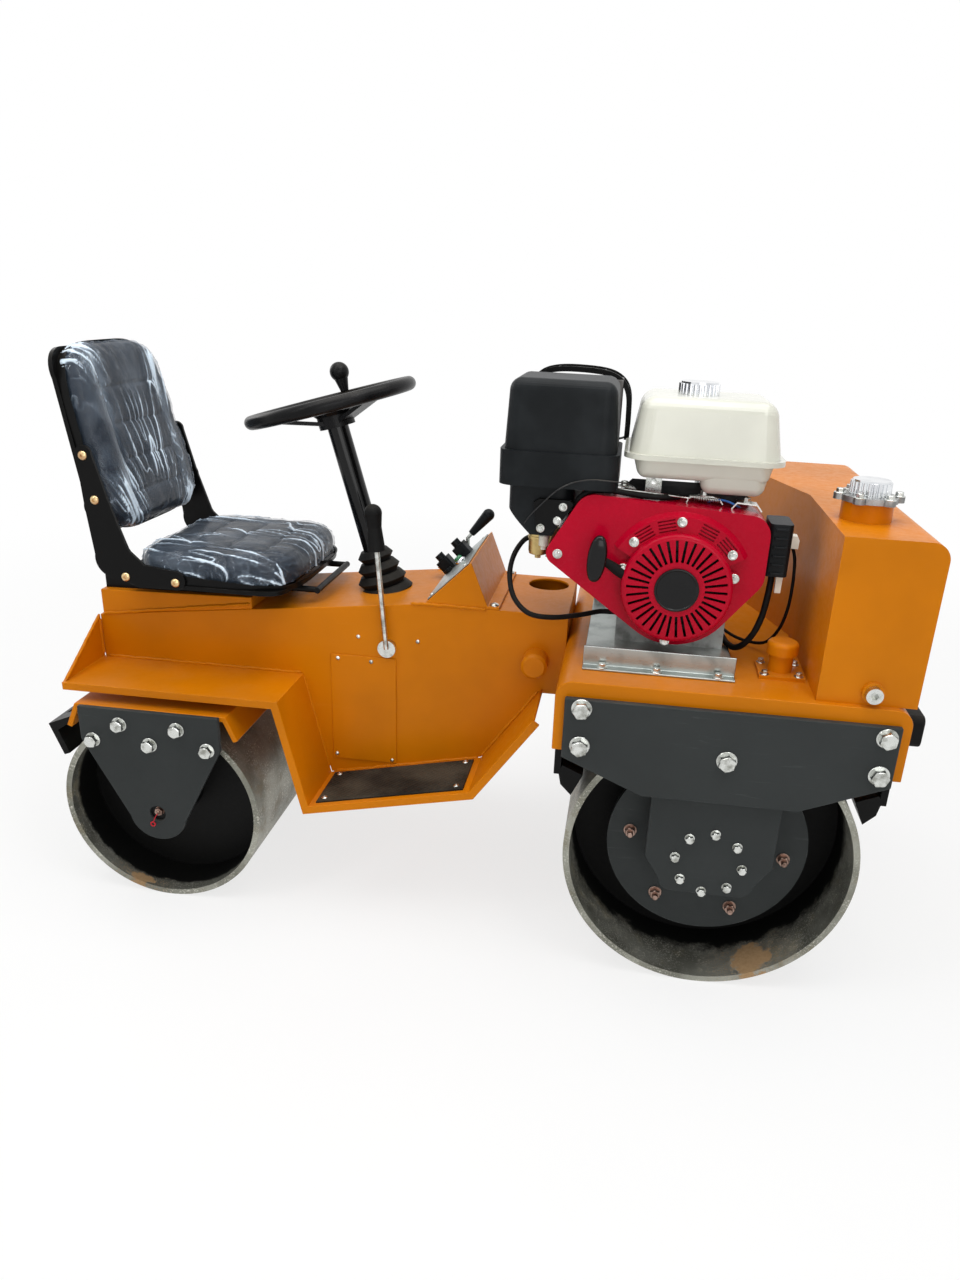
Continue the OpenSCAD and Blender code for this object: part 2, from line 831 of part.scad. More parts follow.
module starter_grip() {
  color(black) at_engine() translate([grip_x, 0, crank_h + grip_z]) rotate([0, grip_tilt, 0]) {
    translate([0, -grip_t / 2, -grip_half]) cylinder(h = 2 * grip_half, r = grip_t / 2);
    for (s = [-1, 1]) translate([0, -grip_t / 2, s * grip_half]) sphere(grip_t / 2);
    rod_y(0, 0, grip_neck_r, -grip_t / 2, shroud_y0);
  }
}

// Moulded box between two corners: upright corners at one end, rounded and tapered at the other
module moulded(a, b, r, edge, taper, up) {
  foot = up ? a[2] : b[2] - over;
  crest = up ? b[2] - edge : a[2] + edge;
  hull() {
    translate([a[0], a[1], foot]) linear_extrude(over) round_rect(b[0] - a[0], b[1] - a[1], r);
    for (x = [a[0] + taper + edge, b[0] - taper - edge], y = [a[1] + taper + edge, b[1] - taper - edge])
      translate([x, y, crest]) sphere(edge, $fn = 32);
  }
}
// Fuel tank: two moulded halves with a seam flange, the lower one deeper towards the front
module fuel_tank() {
  seam_a = [fuel_x0 - fuel_seam_out, fuel_y0 - fuel_seam_out, fuel_seam];
  seam_b = [fuel_x1 + fuel_seam_out, fuel_y1 + fuel_seam_out, fuel_seam + fuel_seam_t];
  low_a = [fuel_x0 + fuel_low_inset, fuel_y0 + fuel_low_inset, fuel_low + fuel_step_h];
  low_b = [fuel_x1 - fuel_low_inset, fuel_y1 - fuel_low_inset, fuel_seam + fuel_seam_t * 3 / 4];
  sump_in = fuel_sump_inset * [1, 1, 0];
  color(white) at_engine() {
    moulded(low_a, low_b, fuel_r, fuel_r / 2, fuel_low_taper, false);
    moulded([fuel_step_x, low_a[1], fuel_low] + sump_in, [low_b[0], low_b[1], fuel_seam] - sump_in, fuel_r,
      fuel_r / 2, fuel_low_taper, false);
    round_box(seam_a, seam_b, fuel_r + fuel_seam_out);
    moulded([fuel_x0, fuel_y0, fuel_seam + fuel_seam_t / 4], [fuel_x1, fuel_y1, fuel_top],
      fuel_r, fuel_top_r,
      fuel_taper, true);
  }
}
module fuel_cap() {
  color(steel) at_engine() translate([fuel_cap_x, fuel_y0 + fuel_cap_y, fuel_top]) {
    cylinder(h = fuel_cap_h, r = fuel_cap_r - cap_rib_r);
    for (i = [0:cap_ribs - 1]) rotate(i * 360 / cap_ribs) translate([fuel_cap_r - cap_rib_r, 0, 0])
      cylinder(h = fuel_cap_h - cap_rib_r, r = cap_rib_r);
  }
}
// Air cleaner: a moulded cover with a wider skirt, over a narrower case with a sloping heel
module air_cleaner() {
  skirt_a = [cleaner_x0 - cleaner_skirt_out, cleaner_y0 - cleaner_skirt_out, cleaner_skirt];
  skirt_b = [cleaner_x1, cleaner_y1 + cleaner_skirt_out, cleaner_mid];
  case_a = [cleaner_x0 + cleaner_inset / 2, cleaner_y0 + cleaner_inset, cleaner_low];
  case_b = [shroud_left_x, barrel_y0 - cleaner_inset / 2, cleaner_skirt];
  color(black) at_engine() {
    difference() {
      round_box(case_a, case_b, cleaner_r);
      along_y(case_a[1] - over, case_b[1] + over) {
        polygon([[case_a[0] - over, cleaner_low - over], [case_a[0] + cleaner_heel, cleaner_low - over],
          [case_a[0] - over, cleaner_low + cleaner_heel]]);
        shroud_outline(-shroud_gap);
      }
    }
    round_box(skirt_a, skirt_b, cleaner_r);
    moulded([cleaner_x0, cleaner_y0, cleaner_mid],
      [cleaner_x1 - cleaner_skirt_out, cleaner_y1, cleaner_top],
      cleaner_r, cleaner_top_r, cleaner_taper, true);
  }
}
shroud_left_x = -shroud_left - shroud_corner_r - shroud_gap;
module carburettor() {
  carb_x1 = shroud_left_x;
  carb_x0 = carb_x1 - carb_w;
  color(brass) at_engine() {
    translate([carb_x0, carb_y0, carb_low])
      cube([carb_x1 - carb_x0, barrel_y0 - carb_y0, cleaner_low - carb_low]);
    translate([bowl_x, bowl_y, cleaner_low - bowl_h]) cylinder(h = bowl_h, r = bowl_r);
  }
}
module muffler() {
  color(steel) at_engine() round_box([muffler_x0, muffler_y0, muffler_low],
    [muffler_x1, muffler_y1, muffler_top],
    muffler_r);
}
module switch_box() {
  x0 = shroud_right + shroud_corner_r;
  fin_pitch = (box_top - box_low) / box_fin_count;
  color(black) at_engine() {
    round_box([x0, box_y0, box_low], [x0 + box_w, box_y1, box_top], box_r);
    for (i = [0:box_fin_count - 1])
      translate([x0 + box_r, box_y0 - box_fin_out, box_low + (i + fin_mid_share) * fin_pitch])
      cube([box_w - 2 * box_r, box_fin_out + box_r, box_fin_t]);
  }
}
// Pump on the engine's shaft end, in a bell housing
module pump() {
  y0 = case_y1 + pto_len;
  color(charcoal) at_engine() {
    rod_y(0, crank_h, bell_r, y0, y0 + bell_len);
    translate([-pump_w / 2, y0 + bell_len, crank_h - pump_h / 2]) cube([pump_w, pump_len, pump_h]);
    for (s = [-1, 1]) translate([s * pump_w / 4, y0 + bell_len + pump_len / 2, crank_h + pump_h / 2])
      cylinder(h = pump_port_h, r = pump_port_r);
  }
}

// Control cable swept along its route
function spline(a, b, c, d, t) = 0.5 * (2 * b + (c - a) * t + (2 * a - 5 * b + 4 * c - d) * t * t
  + (3 * b - a - 3 * c + d) * t * t * t);
function route_points(p, steps) = let (n = len(p) - 1) concat([for (i = [0:n - 1], k = [0:steps - 1])
  spline(p[max(i - 1, 0)], p[i], p[i + 1], p[min(i + 2, n)], k / steps)], [p[n]]);
module cable(p, r, sides) {
  n = len(p);
  dirs = [for (i = [0:n - 1]) unit(p[min(i + 1, n - 1)] - p[max(i - 1, 0)])];
  rings = [for (i = [0:n - 1]) let (u = unit(cross(dirs[i], [1, 0.3, 0])), w = cross(dirs[i], u))
    for (k = [0:sides - 1]) p[i] + r * (cos(k * 360 / sides) * u + sin(k * 360 / sides) * w)];
  walls = [for (i = [0:n - 2], k = [0:sides - 1]) [i * sides + k, i * sides + (k + 1) % sides,
    (i + 1) * sides + (k + 1) % sides, (i + 1) * sides + k]];
  ends = [[for (k = [sides - 1:-1:0]) k], [for (k = [0:sides - 1]) (n - 1) * sides + k]];
  polyhedron(rings, concat(walls, ends));
}
module throttle_cable() {
  color(black) at_engine() cable(route_points(cable_route, cable_steps), cable_r, cable_sides);
}

// Beam: a closed welded box, with the kingpin's bearing tube in its rear
step_end = neck_x1 - toe_back - step_toe_run;
beam_outline = [[-beam_rear, fender_z - belly_drop], [fender_front, fender_z - belly_drop],
  [steep_foot, step_low_z], [step_end, step_high_z], [neck_x1 - toe_back, neck_low_z],
    [neck_x1, neck_low_z],
  [neck_x1, beam_h], [slope_x, beam_h], [-beam_rear, slope_rear_z]];
function slope_z(x) = mix(slope_rear_z, beam_h, (x + beam_rear) / (slope_x + beam_rear));
tube_r = kingpin_d / 2 + bore_tube_wall;
tube_z = yoke_top_z + thrust_gap;
module beam() {
  color(orange) at_rear() difference() {
    union() {
      difference() {
        along_y(-beam_y, beam_y) polygon(beam_outline);
        along_y(-beam_y + beam_wall, beam_y - beam_wall) polygon(inset(beam_outline, beam_wall));
        translate([neck_x1 - neck_hole_x, neck_hole_y, beam_h - 2 * beam_wall])
          cylinder(h = 3 * beam_wall, r = neck_hole_r);
      }
      translate([0, 0, tube_z]) cylinder(h = kingpin_len, r = tube_r);
    }
    translate([0, 0, tube_z - over]) cylinder(h = kingpin_len + over, r = kingpin_d / 2 + running_gap);
  }
}

// Footwell: one bent sheet that is fender, riser, step and toe plate, with a lip and a rear gusset
fender_line = [[-beam_rear - sheet_t, fender_z], [fender_front, fender_z], [steep_foot, step_low_z],
  [step_end, step_high_z], [neck_x1 - toe_back, toe_z]];
module footwell() {
  outer = beam_y + footwell_w;
  at_rear() {
    difference() {
      along_y(-outer, -beam_y) polygon(strip(fender_line, -lip_h));
      along_y(-outer + sheet_t, -beam_y + over)
        polygon(strip(side_line(overrun(fender_line), -sheet_t), -lip_h));
    }
    translate([-beam_rear - sheet_t, 0, 0]) rotate([90, 0, 90]) linear_extrude(sheet_t)
      polygon([[-beam_y, fender_z - sheet_t / 2], [-beam_y, slope_rear_z], [-outer + sheet_t, fender_z],
        [-outer + sheet_t, fender_z - sheet_t / 2]]);
  }
}
module footwell_right() { color(orange) footwell(); }
module footwell_left() { color(orange) mirror([0, 1, 0]) footwell(); }
module step_mats() {
  line = [[steep_foot, step_low_z], [step_end, step_high_z]];
  run = unit(line[1] - line[0]);
  color(black) at_rear() both_sides() along_y(-beam_y - footwell_w + mat_inset, -beam_y - mat_inset)
    polygon(strip([line[0] + run * mat_inset, line[1] - run * mat_inset], mat_t));
}
module access_panels() {
  color(orange) at_rear() both_sides() along_y(-beam_y - panel_t, -beam_y)
    translate([steep_foot + panel_gap, panel_z0]) square([panel_w, panel_z1 - panel_z0]);
}
module tie_bosses() {
  color(orange) at_rear() both_sides() translate([neck_x1 - boss_x, -beam_y, boss_z]) rotate([90, 0, 0]) {
    cylinder(h = boss_len - boss_edge, r = boss_r);
    translate([0, 0, boss_len - boss_edge]) cylinder(h = boss_edge, r1 = boss_r, r2 = boss_r - boss_edge);
  }
}

// Seat on its wedge and rails
seat_base_front_z = slope_z(seat_base_x1) + seat_base_h;
seat_base_rear_z = seat_base_front_z - seat_base_fall;
pan_z = seat_base_front_z + rail_h;
cushion_z0 = pan_z + pan_t;
back_z = cushion_z0 + cushion_h + back_up;
module seat_base() {
  color(orange) at_rear() along_y(-beam_y, beam_y) polygon([[seat_base_x0, slope_z(seat_base_x0) + seat_gap],
    [seat_base_x1, slope_z(seat_base_x1) + seat_gap], [seat_base_x1, seat_base_front_z],
      [seat_base_x0, seat_base_rear_z]]);
}
function base_z(x) = mix(seat_base_rear_z, seat_base_front_z, (x - seat_base_x0)
  / (seat_base_x1 - seat_base_x0));
module seat_rails() {
  color(black) at_rear() {
    both_sides() along_y(-rail_y - rail_w / 2, -rail_y + rail_w / 2) polygon([[rail_x0, base_z(rail_x0)],
      [rail_x1, base_z(rail_x1)], [rail_x1, pan_z], [rail_x0, pan_z]]);
    translate([rail_x1, 0, pan_z - rail_bar_r - seat_gap]) {
      rod_y(rail_bar_past, 0, rail_bar_r, -rail_y - rail_bar_r, rail_y + rail_bar_r);
      both_sides() translate([0, -rail_y, 0]) rotate([0, 90, 0])
        cylinder(h = rail_bar_past, r = rail_bar_r);
    }
  }
}
// Pan under the cushion, shell behind the back, and the pressed arms that join them
module on_back() { translate([back_foot_x, 0, back_z]) rotate([0, -back_lean, 0]) children(); }
module back_outline(half, r) {
  low = [half - r, r];
  high = [half - back_narrow - r, back_len - r];
  side = -left_of(unit(high - low)) * r * tip_share;
  edge = [[low[0], 0], low + side, high + side, [high[0], back_len]];
  polygon(concat(edge, [for (i = [len(edge) - 1:-1:0]) [-edge[i][0], edge[i][1]]]));
  for (s = [-1, 1], c = [low, high]) translate([s * c[0], c[1]]) circle(r);
}
module arm_outline() {
  mids = [for (i = [0:len(arm_xs) - 1]) [arm_xs[i], pan_z + arm_rises[i]]];
  for (i = [0:len(mids) - 1]) translate(mids[i]) circle(arm_rs[i]);
  for (i = [0:len(mids) - 2]) {
    out = left_of(unit(mids[i + 1] - mids[i])) * tip_share;
    polygon([mids[i] + out * arm_rs[i], mids[i + 1] + out * arm_rs[i + 1],
      mids[i + 1] - out * arm_rs[i + 1], mids[i] - out * arm_rs[i]]);
  }
}
module seat_frame() {
  arm_y = seat_w / 2 + arm_gap;
  half = arm_y + arm_t / 2;
  color(charcoal) at_rear() {
    round_box([pan_x0, -half, pan_z], [pan_x1, half, pan_z + pan_t], pan_r);
    on_back() rotate([90, 0, -90]) linear_extrude(shell_t) back_outline(half, shell_r);
    both_sides() along_y(-arm_y - arm_t, -arm_y) arm_outline();
  }
}
module seat_cushion() {
  color(black) at_rear() moulded([cushion_x0, -seat_w / 2, cushion_z0],
    [cushion_x0 + cushion_len, seat_w / 2, cushion_z0 + cushion_h],
      cushion_r, cushion_edge_r, cushion_taper, true);
}
module back_cushion() {
  inner = back_taper + back_edge_r;
  color(black) at_rear() on_back() rotate([90, 0, 90]) hull() for (s = [-1, 1])
    for (p = [[seat_w / 2, 0, 1], [seat_w / 2 - back_narrow, back_len, -1]]) {
      translate([s * (p[0] - back_r), p[1] + p[2] * back_r, seat_gap])
        cylinder(h = over, r = back_r, $fn = 32);
      translate([s * (p[0] - inner), p[1] + p[2] * inner, back_t - back_edge_r])
        sphere(back_edge_r, $fn = 24);
    }
}

// Console wedge on the neck, its sloping panel and the hand throttle
console_line = [[run_x0 + run_len * console_rear_share, beam_h],
  [run_x0 + run_len * console_ridge_share, beam_h + console_h]];
console_front_x = run_x0 + run_len * console_front_share;
console_outline = [[console_front_x, beam_h], console_line[1], console_line[0]];
module console() {
  color(orange) at_rear() along_y(-beam_y, beam_y) {
    polygon(console_outline);
    translate([console_front_x - console_foot, beam_h]) square([2 * console_foot, sheet_t]);
  }
}
console_run = unit(console_line[1] - console_line[0]);
console_slope = atan2(console_run[1], console_run[0]);
module on_dash(along, y) {
  p = console_line[0] + console_run * along + left_of(console_run) * dash_t;
  translate([rear_x + p[0], y, p[1]]) rotate([0, -console_slope, 0]) children();
}
dash_len = norm(console_line[1] - console_line[0]);
module dash_panel() {
  color(grey) at_rear() along_y(-beam_y + dash_inset, beam_y - dash_inset)
    polygon(strip([console_line[0] + console_run * dash_inset,
      console_line[1] - console_run * dash_inset], dash_t));
}
module dash_switches() {
  color(black) {
    for (k = switch_shares) on_dash(dash_len * k, switch_y_share * beam_y) {
      round_box([-switch_len / 2, -switch_w / 2, 0], [switch_len / 2, switch_w / 2, switch_h], switch_r);
      cylinder(h = switch_h + key_h, r = key_r);
    }
    for (k = lamp_shares) on_dash(dash_len * k, lamp_y_share * beam_y) cylinder(h = lamp_h, r = lamp_r);
  }
}
// A turned grip: a waist that swells to a rounded top
module turned_grip(low_r, high_r, len) {
  cylinder(h = len - high_r, r1 = low_r, r2 = high_r);
  translate([0, 0, len - high_r]) sphere(high_r, $fn = 48);
}
throttle_foot = mix(console_line[0], console_line[1], throttle_x_share);
module on_throttle() {
  at_rear() translate([throttle_foot[0], throttle_y, throttle_foot[1] + throttle_rise])
    rotate([0, throttle_lean, 0]) children();
}
module throttle_lever() {
  color(steel) difference() {
    union() {
      on_throttle() cylinder(h = throttle_len, r = throttle_rod_r);
      on_throttle() sphere(throttle_rod_r, $fn = 32);
      at_rear() translate([throttle_foot[0], throttle_y, throttle_foot[1]])
        cylinder(h = throttle_rise, r = throttle_rod_r);
    }
    at_rear() along_y(-beam_y, beam_y) polygon(strip(console_line, dash_t));
    at_rear() along_y(-beam_y, beam_y) polygon(console_outline);
  }
}
module throttle_grip() {
  color(black) on_throttle() translate([0, 0, throttle_len])
    turned_grip(throttle_neck_r, throttle_grip_r, throttle_grip_len);
}
module on_lever() {
  at_rear() translate([lever_x, -beam_y - lever_disc_t / 2 - lever_rod_r, lever_z])
    rotate([0, -lever_lean, 0]) children();
}
module travel_lever() {
  color(steel) {
    at_rear() rod_y(lever_x, lever_z, lever_disc_r, -beam_y - lever_disc_t, -beam_y);
    on_lever() cylinder(h = lever_rod_len, r = lever_rod_r);
  }
}
module travel_grip() {
  color(black) on_lever() translate([0, 0, lever_rod_len]) {
    cylinder(h = lever_grip_len / 2, r1 = lever_grip_r, r2 = lever_waist_r);
    translate([0, 0, lever_grip_len / 2]) turned_grip(lever_waist_r, lever_grip_r, lever_grip_len / 2);
  }
}

// Steering column, boot and wheel on the leaning axis
module on_column(along) {
  translate([rear_x + column_x, 0, slope_z(column_x)]) rotate([0, -column_lean, 0])
    translate([0, 0, along]) children();
}
module above_deck() {
  difference() {
    children();
    at_rear() along_y(-beam_y, beam_y) polygon(beam_outline);
  }
}
module column() {
  color(black) above_deck() on_column(-column_foot) difference() {
    cylinder(h = column_len + column_foot, r = column_d / 2);
    translate([0, 0, column_len + column_foot - shaft_into])
      cylinder(h = shaft_into + over, r = shaft_r + running_gap);
  }
}
module column_boot() {
  step = boot_h / boot_rings;
  color(black) above_deck() on_column(-column_foot) difference() {
    for (i = [0:boot_rings - 1]) translate([0, 0, i * step]) {
      r = mix(boot_low_r, boot_high_r, i / (boot_rings - 1));
      cylinder(h = step / 2, r1 = r, r2 = r + boot_ring_out);
      translate([0, 0, step / 2]) cylinder(h = step / 2, r1 = r + boot_ring_out, r2 = r);
    }
    translate([0, 0, -over]) cylinder(h = boot_h + 2 * over, r = column_d / 2 + seat_gap);
  }
}
rim_r = (wheel_d - rim_d) / 2;
module steering_wheel() {
  color(black) on_column(wheel_along) {
    rotate_extrude($fn = 96) translate([rim_r, 0]) circle(rim_d / 2, $fn = 24);
    translate([0, 0, -hub_below]) cylinder(h = hub_h, r = hub_r);
    translate([0, 0, -hub_below + hub_h - hub_cup_h]) cylinder(h = hub_cup_h, r1 = hub_r, r2 = hub_cup_r);
    translate([0, 0, -hub_below - shaft_into + seat_gap]) cylinder(h = shaft_into, r = shaft_r);
    for (i = [0:spoke_count - 1]) rotate(spoke_first + i * 360 / spoke_count) {
      dish = [[hub_r - spoke_t, spoke_t - hub_below], [rim_r, 0]];
      translate([0, spoke_w / 2, 0]) rotate([90, 0, 0]) linear_extrude(spoke_w)
        polygon(strip(dish, spoke_t));
    }
  }
}
module wheel_knob() {
  color(black) on_column(wheel_along) rotate(knob_angle) translate([rim_r, 0, rim_d / 2]) {
    cylinder(h = knob_stem_h, r1 = knob_stem_r, r2 = knob_neck_r);
    translate([0, 0, knob_stem_h + knob_r - knob_stem_r]) sphere(knob_r, $fn = 32);
  }
}

// Yoke: the channel over the rear drum, its dark side plates, kingpin, axle and scraper
module yoke() {
  hx = yoke_len / 2;
  top = yoke_top_z;
  color(orange) at_rear() {
    along_y(-yoke_y, yoke_y) polygon(strip([[-hx - yoke_face_out, top - yoke_face_drop], [-hx, top],
      [hx, top],
      [hx + yoke_face_out, top - yoke_face_drop]], -yoke_t));
    translate([0, 0, top - yoke_t / 2]) cylinder(h = kingpin_len + yoke_t / 2, r = kingpin_d / 2);
  }
}
function tip_touch(p, c, r) = let (d = norm(p - c), a = atan2(p[1] - c[1], p[0] - c[0]), b = acos(r / d))
  c + r * [cos(a - b), sin(a - b)];
module yoke_plate() {
  shoulder = yoke_top_z - yoke_plate_drop;
  hub = [0, rear_r];
  touch = tip_touch([yoke_plate_hx, shoulder], hub, yoke_tip_r * tip_share);
  at_rear() difference() {
    along_y(-yoke_y - yoke_side_t, -yoke_y) {
      polygon([[-yoke_plate_hx, yoke_top_z], [-yoke_plate_hx, shoulder], [-touch[0], touch[1]],
        [touch[0], touch[1]], [yoke_plate_hx, shoulder], [yoke_plate_hx, yoke_top_z]]);
      translate(hub) circle(yoke_tip_r);
    }
    rod_y(0, rear_r, hub_hole_r + seat_gap, -yoke_y - yoke_side_t - over, -yoke_y + over);
  }
}
module yoke_plate_right() { color(charcoal) yoke_plate(); }
module yoke_plate_left() { color(charcoal) mirror([0, 1, 0]) yoke_plate(); }
module rear_axle() {
  color(steel) at_rear() {
    rod_y(0, rear_r, rear_axle_d / 2, -yoke_y, yoke_y);
    rod_y(0, rear_r, hub_hole_r, -yoke_y - yoke_side_t / 2, yoke_y + yoke_side_t / 2);
  }
}
module rear_scraper() {
  back = -yoke_len / 2 - yoke_face_out;
  foot = yoke_top_z - yoke_face_drop;
  head = [-rear_reach, rear_blade_z];
  tip_r = rear_r + rear_blade_gap + rear_blade_t;
  tip = [-tip_r * cos(rear_blade_angle), rear_r + tip_r * sin(rear_blade_angle)];
  color(black) at_rear() {
    along_y(-rear_blade_half, rear_blade_half) polygon(strip([head, tip], rear_blade_t));
    both_sides() along_y(-rear_blade_half, -rear_blade_half + rear_arm_w) polygon([head,
      mix(head, tip, rear_arm_share), [back, foot], [back + yoke_face_out * rear_arm_t / yoke_face_drop,
      foot + rear_arm_t]]);
  }
}
rear_web_y = rear_half - rear_recess;
module rear_drum() {
  color(steel) at_rear() difference() {
    union() {
      translate([0, rear_half, rear_r]) rotate([90, 0, 0]) difference() {
        cylinder(h = rear_drum_w, r = rear_r, $fn = 128);
        translate([0, 0, -over]) cylinder(h = rear_drum_w + 2 * over, r = rear_r - drum_wall, $fn = 128);
      }
      both_sides() {
        rod_y(0, rear_r, rear_r - drum_wall / 2, -rear_web_y, -rear_web_y + web_t);
        rod_y(0, rear_r, rear_hub_r, -rear_web_y - rear_hub_len, -rear_web_y + web_t);
      }
    }
    rod_y(0, rear_r, rear_axle_d / 2 + running_gap, -rear_half, rear_half);
  }
}

front_frame();
side_plate_right();
side_plate_left();
axle_housing_right();
axle_housing_left();
front_scrapers();
bumpers();
tank();
tank_filler();
tank_cap();
drain_plug();
breather();
engine_tray();
engine_block();
fan_shroud();
recoil_cover();
recoil_disc();
starter_grip();
fuel_tank();
fuel_cap();
air_cleaner();
carburettor();
muffler();
switch_box();
pump();
throttle_cable();
beam();
footwell_right();
footwell_left();
step_mats();
access_panels();
tie_bosses();
seat_base();
seat_rails();
seat_frame();
seat_cushion();
back_cushion();
console();
dash_panel();
dash_switches();
throttle_lever();
throttle_grip();
travel_lever();
travel_grip();
column();
column_boot();
steering_wheel();
wheel_knob();
yoke();
yoke_plate_right();
yoke_plate_left();
rear_axle();
rear_scraper();
rear_drum();
front_drum();
buffer_disc_right();
buffer_disc_left();
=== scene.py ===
"""Looks of a ride-on double-drum road roller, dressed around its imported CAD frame.

Lengths are metres in the frame's own axes: +X forward, +Y left, +Z up.
"""

import logging
import math
from dataclasses import dataclass, field
from enum import Enum
from typing import Any, Callable, Iterable, Sequence

import bmesh
import bpy
import numpy as np
from mathutils import Matrix, Vector


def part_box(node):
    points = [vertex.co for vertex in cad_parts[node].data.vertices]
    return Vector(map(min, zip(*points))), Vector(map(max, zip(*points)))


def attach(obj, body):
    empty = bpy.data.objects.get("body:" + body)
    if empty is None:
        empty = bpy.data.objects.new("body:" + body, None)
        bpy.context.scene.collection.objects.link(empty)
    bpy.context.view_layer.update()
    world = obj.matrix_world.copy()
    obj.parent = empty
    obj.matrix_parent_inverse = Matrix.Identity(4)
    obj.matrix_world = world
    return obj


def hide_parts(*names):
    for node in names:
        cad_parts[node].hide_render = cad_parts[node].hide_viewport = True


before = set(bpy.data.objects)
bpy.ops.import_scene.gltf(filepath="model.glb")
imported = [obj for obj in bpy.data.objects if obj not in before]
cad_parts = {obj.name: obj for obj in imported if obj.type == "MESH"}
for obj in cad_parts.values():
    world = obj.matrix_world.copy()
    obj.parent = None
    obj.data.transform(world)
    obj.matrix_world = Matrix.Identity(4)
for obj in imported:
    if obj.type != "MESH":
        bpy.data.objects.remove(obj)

log = logging.getLogger("roller")

Array = np.ndarray
Colour = tuple[float, float, float, float]
Point = tuple[float, float, float]
Filler = Callable[["Graph", Any], Sequence[Any]]

SEED = 20
FRONT_AXLE = np.array([0.4595, 0.0, 0.25])
REAR_AXLE = np.array([-0.5635, 0.0, 0.1925])
ENGINE = np.array([0.3585, -0.280, 0.574])
CRANK = ENGINE + np.array([0.0, 0.0, 0.133])
X_AXIS = np.array([1.0, 0.0, 0.0])
Y_AXIS = np.array([0.0, 1.0, 0.0])
Z_AXIS = np.array([0.0, 0.0, 1.0])
FACING = np.stack([X_AXIS, Z_AXIS, -Y_AXIS], -1)
DASH_FOOT = np.array([-0.0888, 0.0, 0.597])
DASH_RUN = np.array([0.7087, 0.0, 0.7055])
DASH_OUT = np.array([-0.7055, 0.0, 0.7087])
DASH_SHEET = 0.003
SENSOR_MM = 36.0
WELD_REACH = 0.00002
FLAT_ANGLE = math.radians(0.6)
BEVEL_ANGLE = math.radians(38)
BOLT_SHARP = 30.0
CLOTH_VOXEL = 0.005
CLOTH_PRESSURE = 4.0
CLOTH_FRAMES = 20
CLOTH_REACH = 0.007
STITCH_WIDTH, STITCH_DEPTH = 0.004, 0.0024
DIP_WIDTH, DIP_DEPTH = 0.014, 0.0018
FILM_LIFT = 0.0012
RIDGE_HEIGHT = 0.0036
SMALL_HEIGHT = 0.0024
FACET_HEIGHT = 0.0022


class Body(str, Enum):
    """The CAD bodies that pieces ride on."""

    CHASSIS = "chassis"
    FRONT_DRUM = "front_drum"
    YOKE = "rear_yoke"


class Slot(str, Enum):
    """Names of material slots."""

    ORANGE = "orange_paint"
    BLACK = "black_paint"
    RUBBER = "black_rubber"
    PLASTIC = "black_plastic"
    ZINC = "zinc"
    CHROME = "chrome"
    IRON = "cast_iron"
    BRASS = "brass"
    MUFFLER = "muffler_steel"
    VINYL = "seat_vinyl"


class Side(Enum):
    """The machine's two sides, as the sign of Y."""

    RIGHT = -1
    LEFT = 1


def srgb(red: int, green: int, blue: int) -> Colour:
    """Turns a screen colour into the linear one that shaders take.

    Args:
        red: Red from 0 to 255.
        green: Green from 0 to 255.
        blue: Blue from 0 to 255.

    Returns:
        The linear colour with an alpha of 1.
    """
    screen = np.array([red, green, blue]) / 255.0
    linear = np.where(screen <= 0.04045, screen / 12.92, ((screen + 0.055) / 1.055) ** 2.4)
    return (float(linear[0]), float(linear[1]), float(linear[2]), 1.0)


def shaded(colour: Colour, factor: float, lift: float = 0.0) -> Colour:
    """A linear colour made darker or lighter by a factor and a lift, kept within 1."""
    red, green, blue = (min(1.0, c * factor + lift) for c in colour[:3])
    return (red, green, blue, 1.0)


# Surfaces worked out as arrays


def angles(count: int) -> Array:
    """Even angles once round a circle, from 0."""
    return np.linspace(0, math.tau, count, endpoint=False)


def squared(values: Array, power: float) -> Array:
    """Values brought to a power with their signs kept, which squares off a circle's cosines and sines."""
    return np.sign(values) * np.abs(values) ** power


@dataclass
class Surface:
    """A mesh in the making.

    Attributes:
        points: Corner points, one row each.
        quads: Four-sided faces.
        tris: Three-sided faces.
    """

    points: Array
    quads: Array
    tris: Array = field(default_factory=lambda: np.zeros((0, 3), int))

    def placed(self, origin: Array, axes: Array | None = None) -> "Surface":
        """Turns the surface so that its X, Y and Z become the columns of axes, then moves it to origin."""
        turned = self.points if axes is None else self.points @ axes.T
        return Surface(turned + np.asarray(origin), self.quads, self.tris)

    def mirrored(self) -> "Surface":
        """The same surface on the other side of the machine, its faces turned round again."""
        return Surface(self.points * [1, -1, 1], self.quads[:, ::-1], self.tris[:, ::-1])


def joined(parts: Sequence[Surface]) -> Surface:
    """Puts several surfaces into one.

    Args:
        parts: The surfaces.

    Returns:
        One surface that holds them all.
    """
    shifts = np.cumsum([0] + [len(part.points) for part in parts[:-1]])
    return Surface(
        np.concatenate([part.points for part in parts]),
        np.concatenate([part.quads + shift for part, shift in zip(parts, shifts)]),
        np.concatenate([part.tris + shift for part, shift in zip(parts, shifts)]),
    )


def grid_quads(rows: int, columns: int, wrap: bool) -> Array:
    """Faces of a grid: each joins (i, j), (i, j+1), (i+1, j+1) and (i+1, j), and j may wrap round.

    Args:
        rows: Points along the first parameter.
        columns: Points along the second parameter.
        wrap: Whether the last column joins the first.

    Returns:
        One row of four point numbers for each face.
    """
    i = np.arange(rows - 1)[:, None]
    j = np.arange(columns if wrap else columns - 1)[None, :]
    k = (j + 1) % columns
    corners = (i * columns + j, i * columns + k, (i + 1) * columns + k, (i + 1) * columns + j)
    return np.stack(np.broadcast_arrays(*corners), -1).reshape(-1, 4)


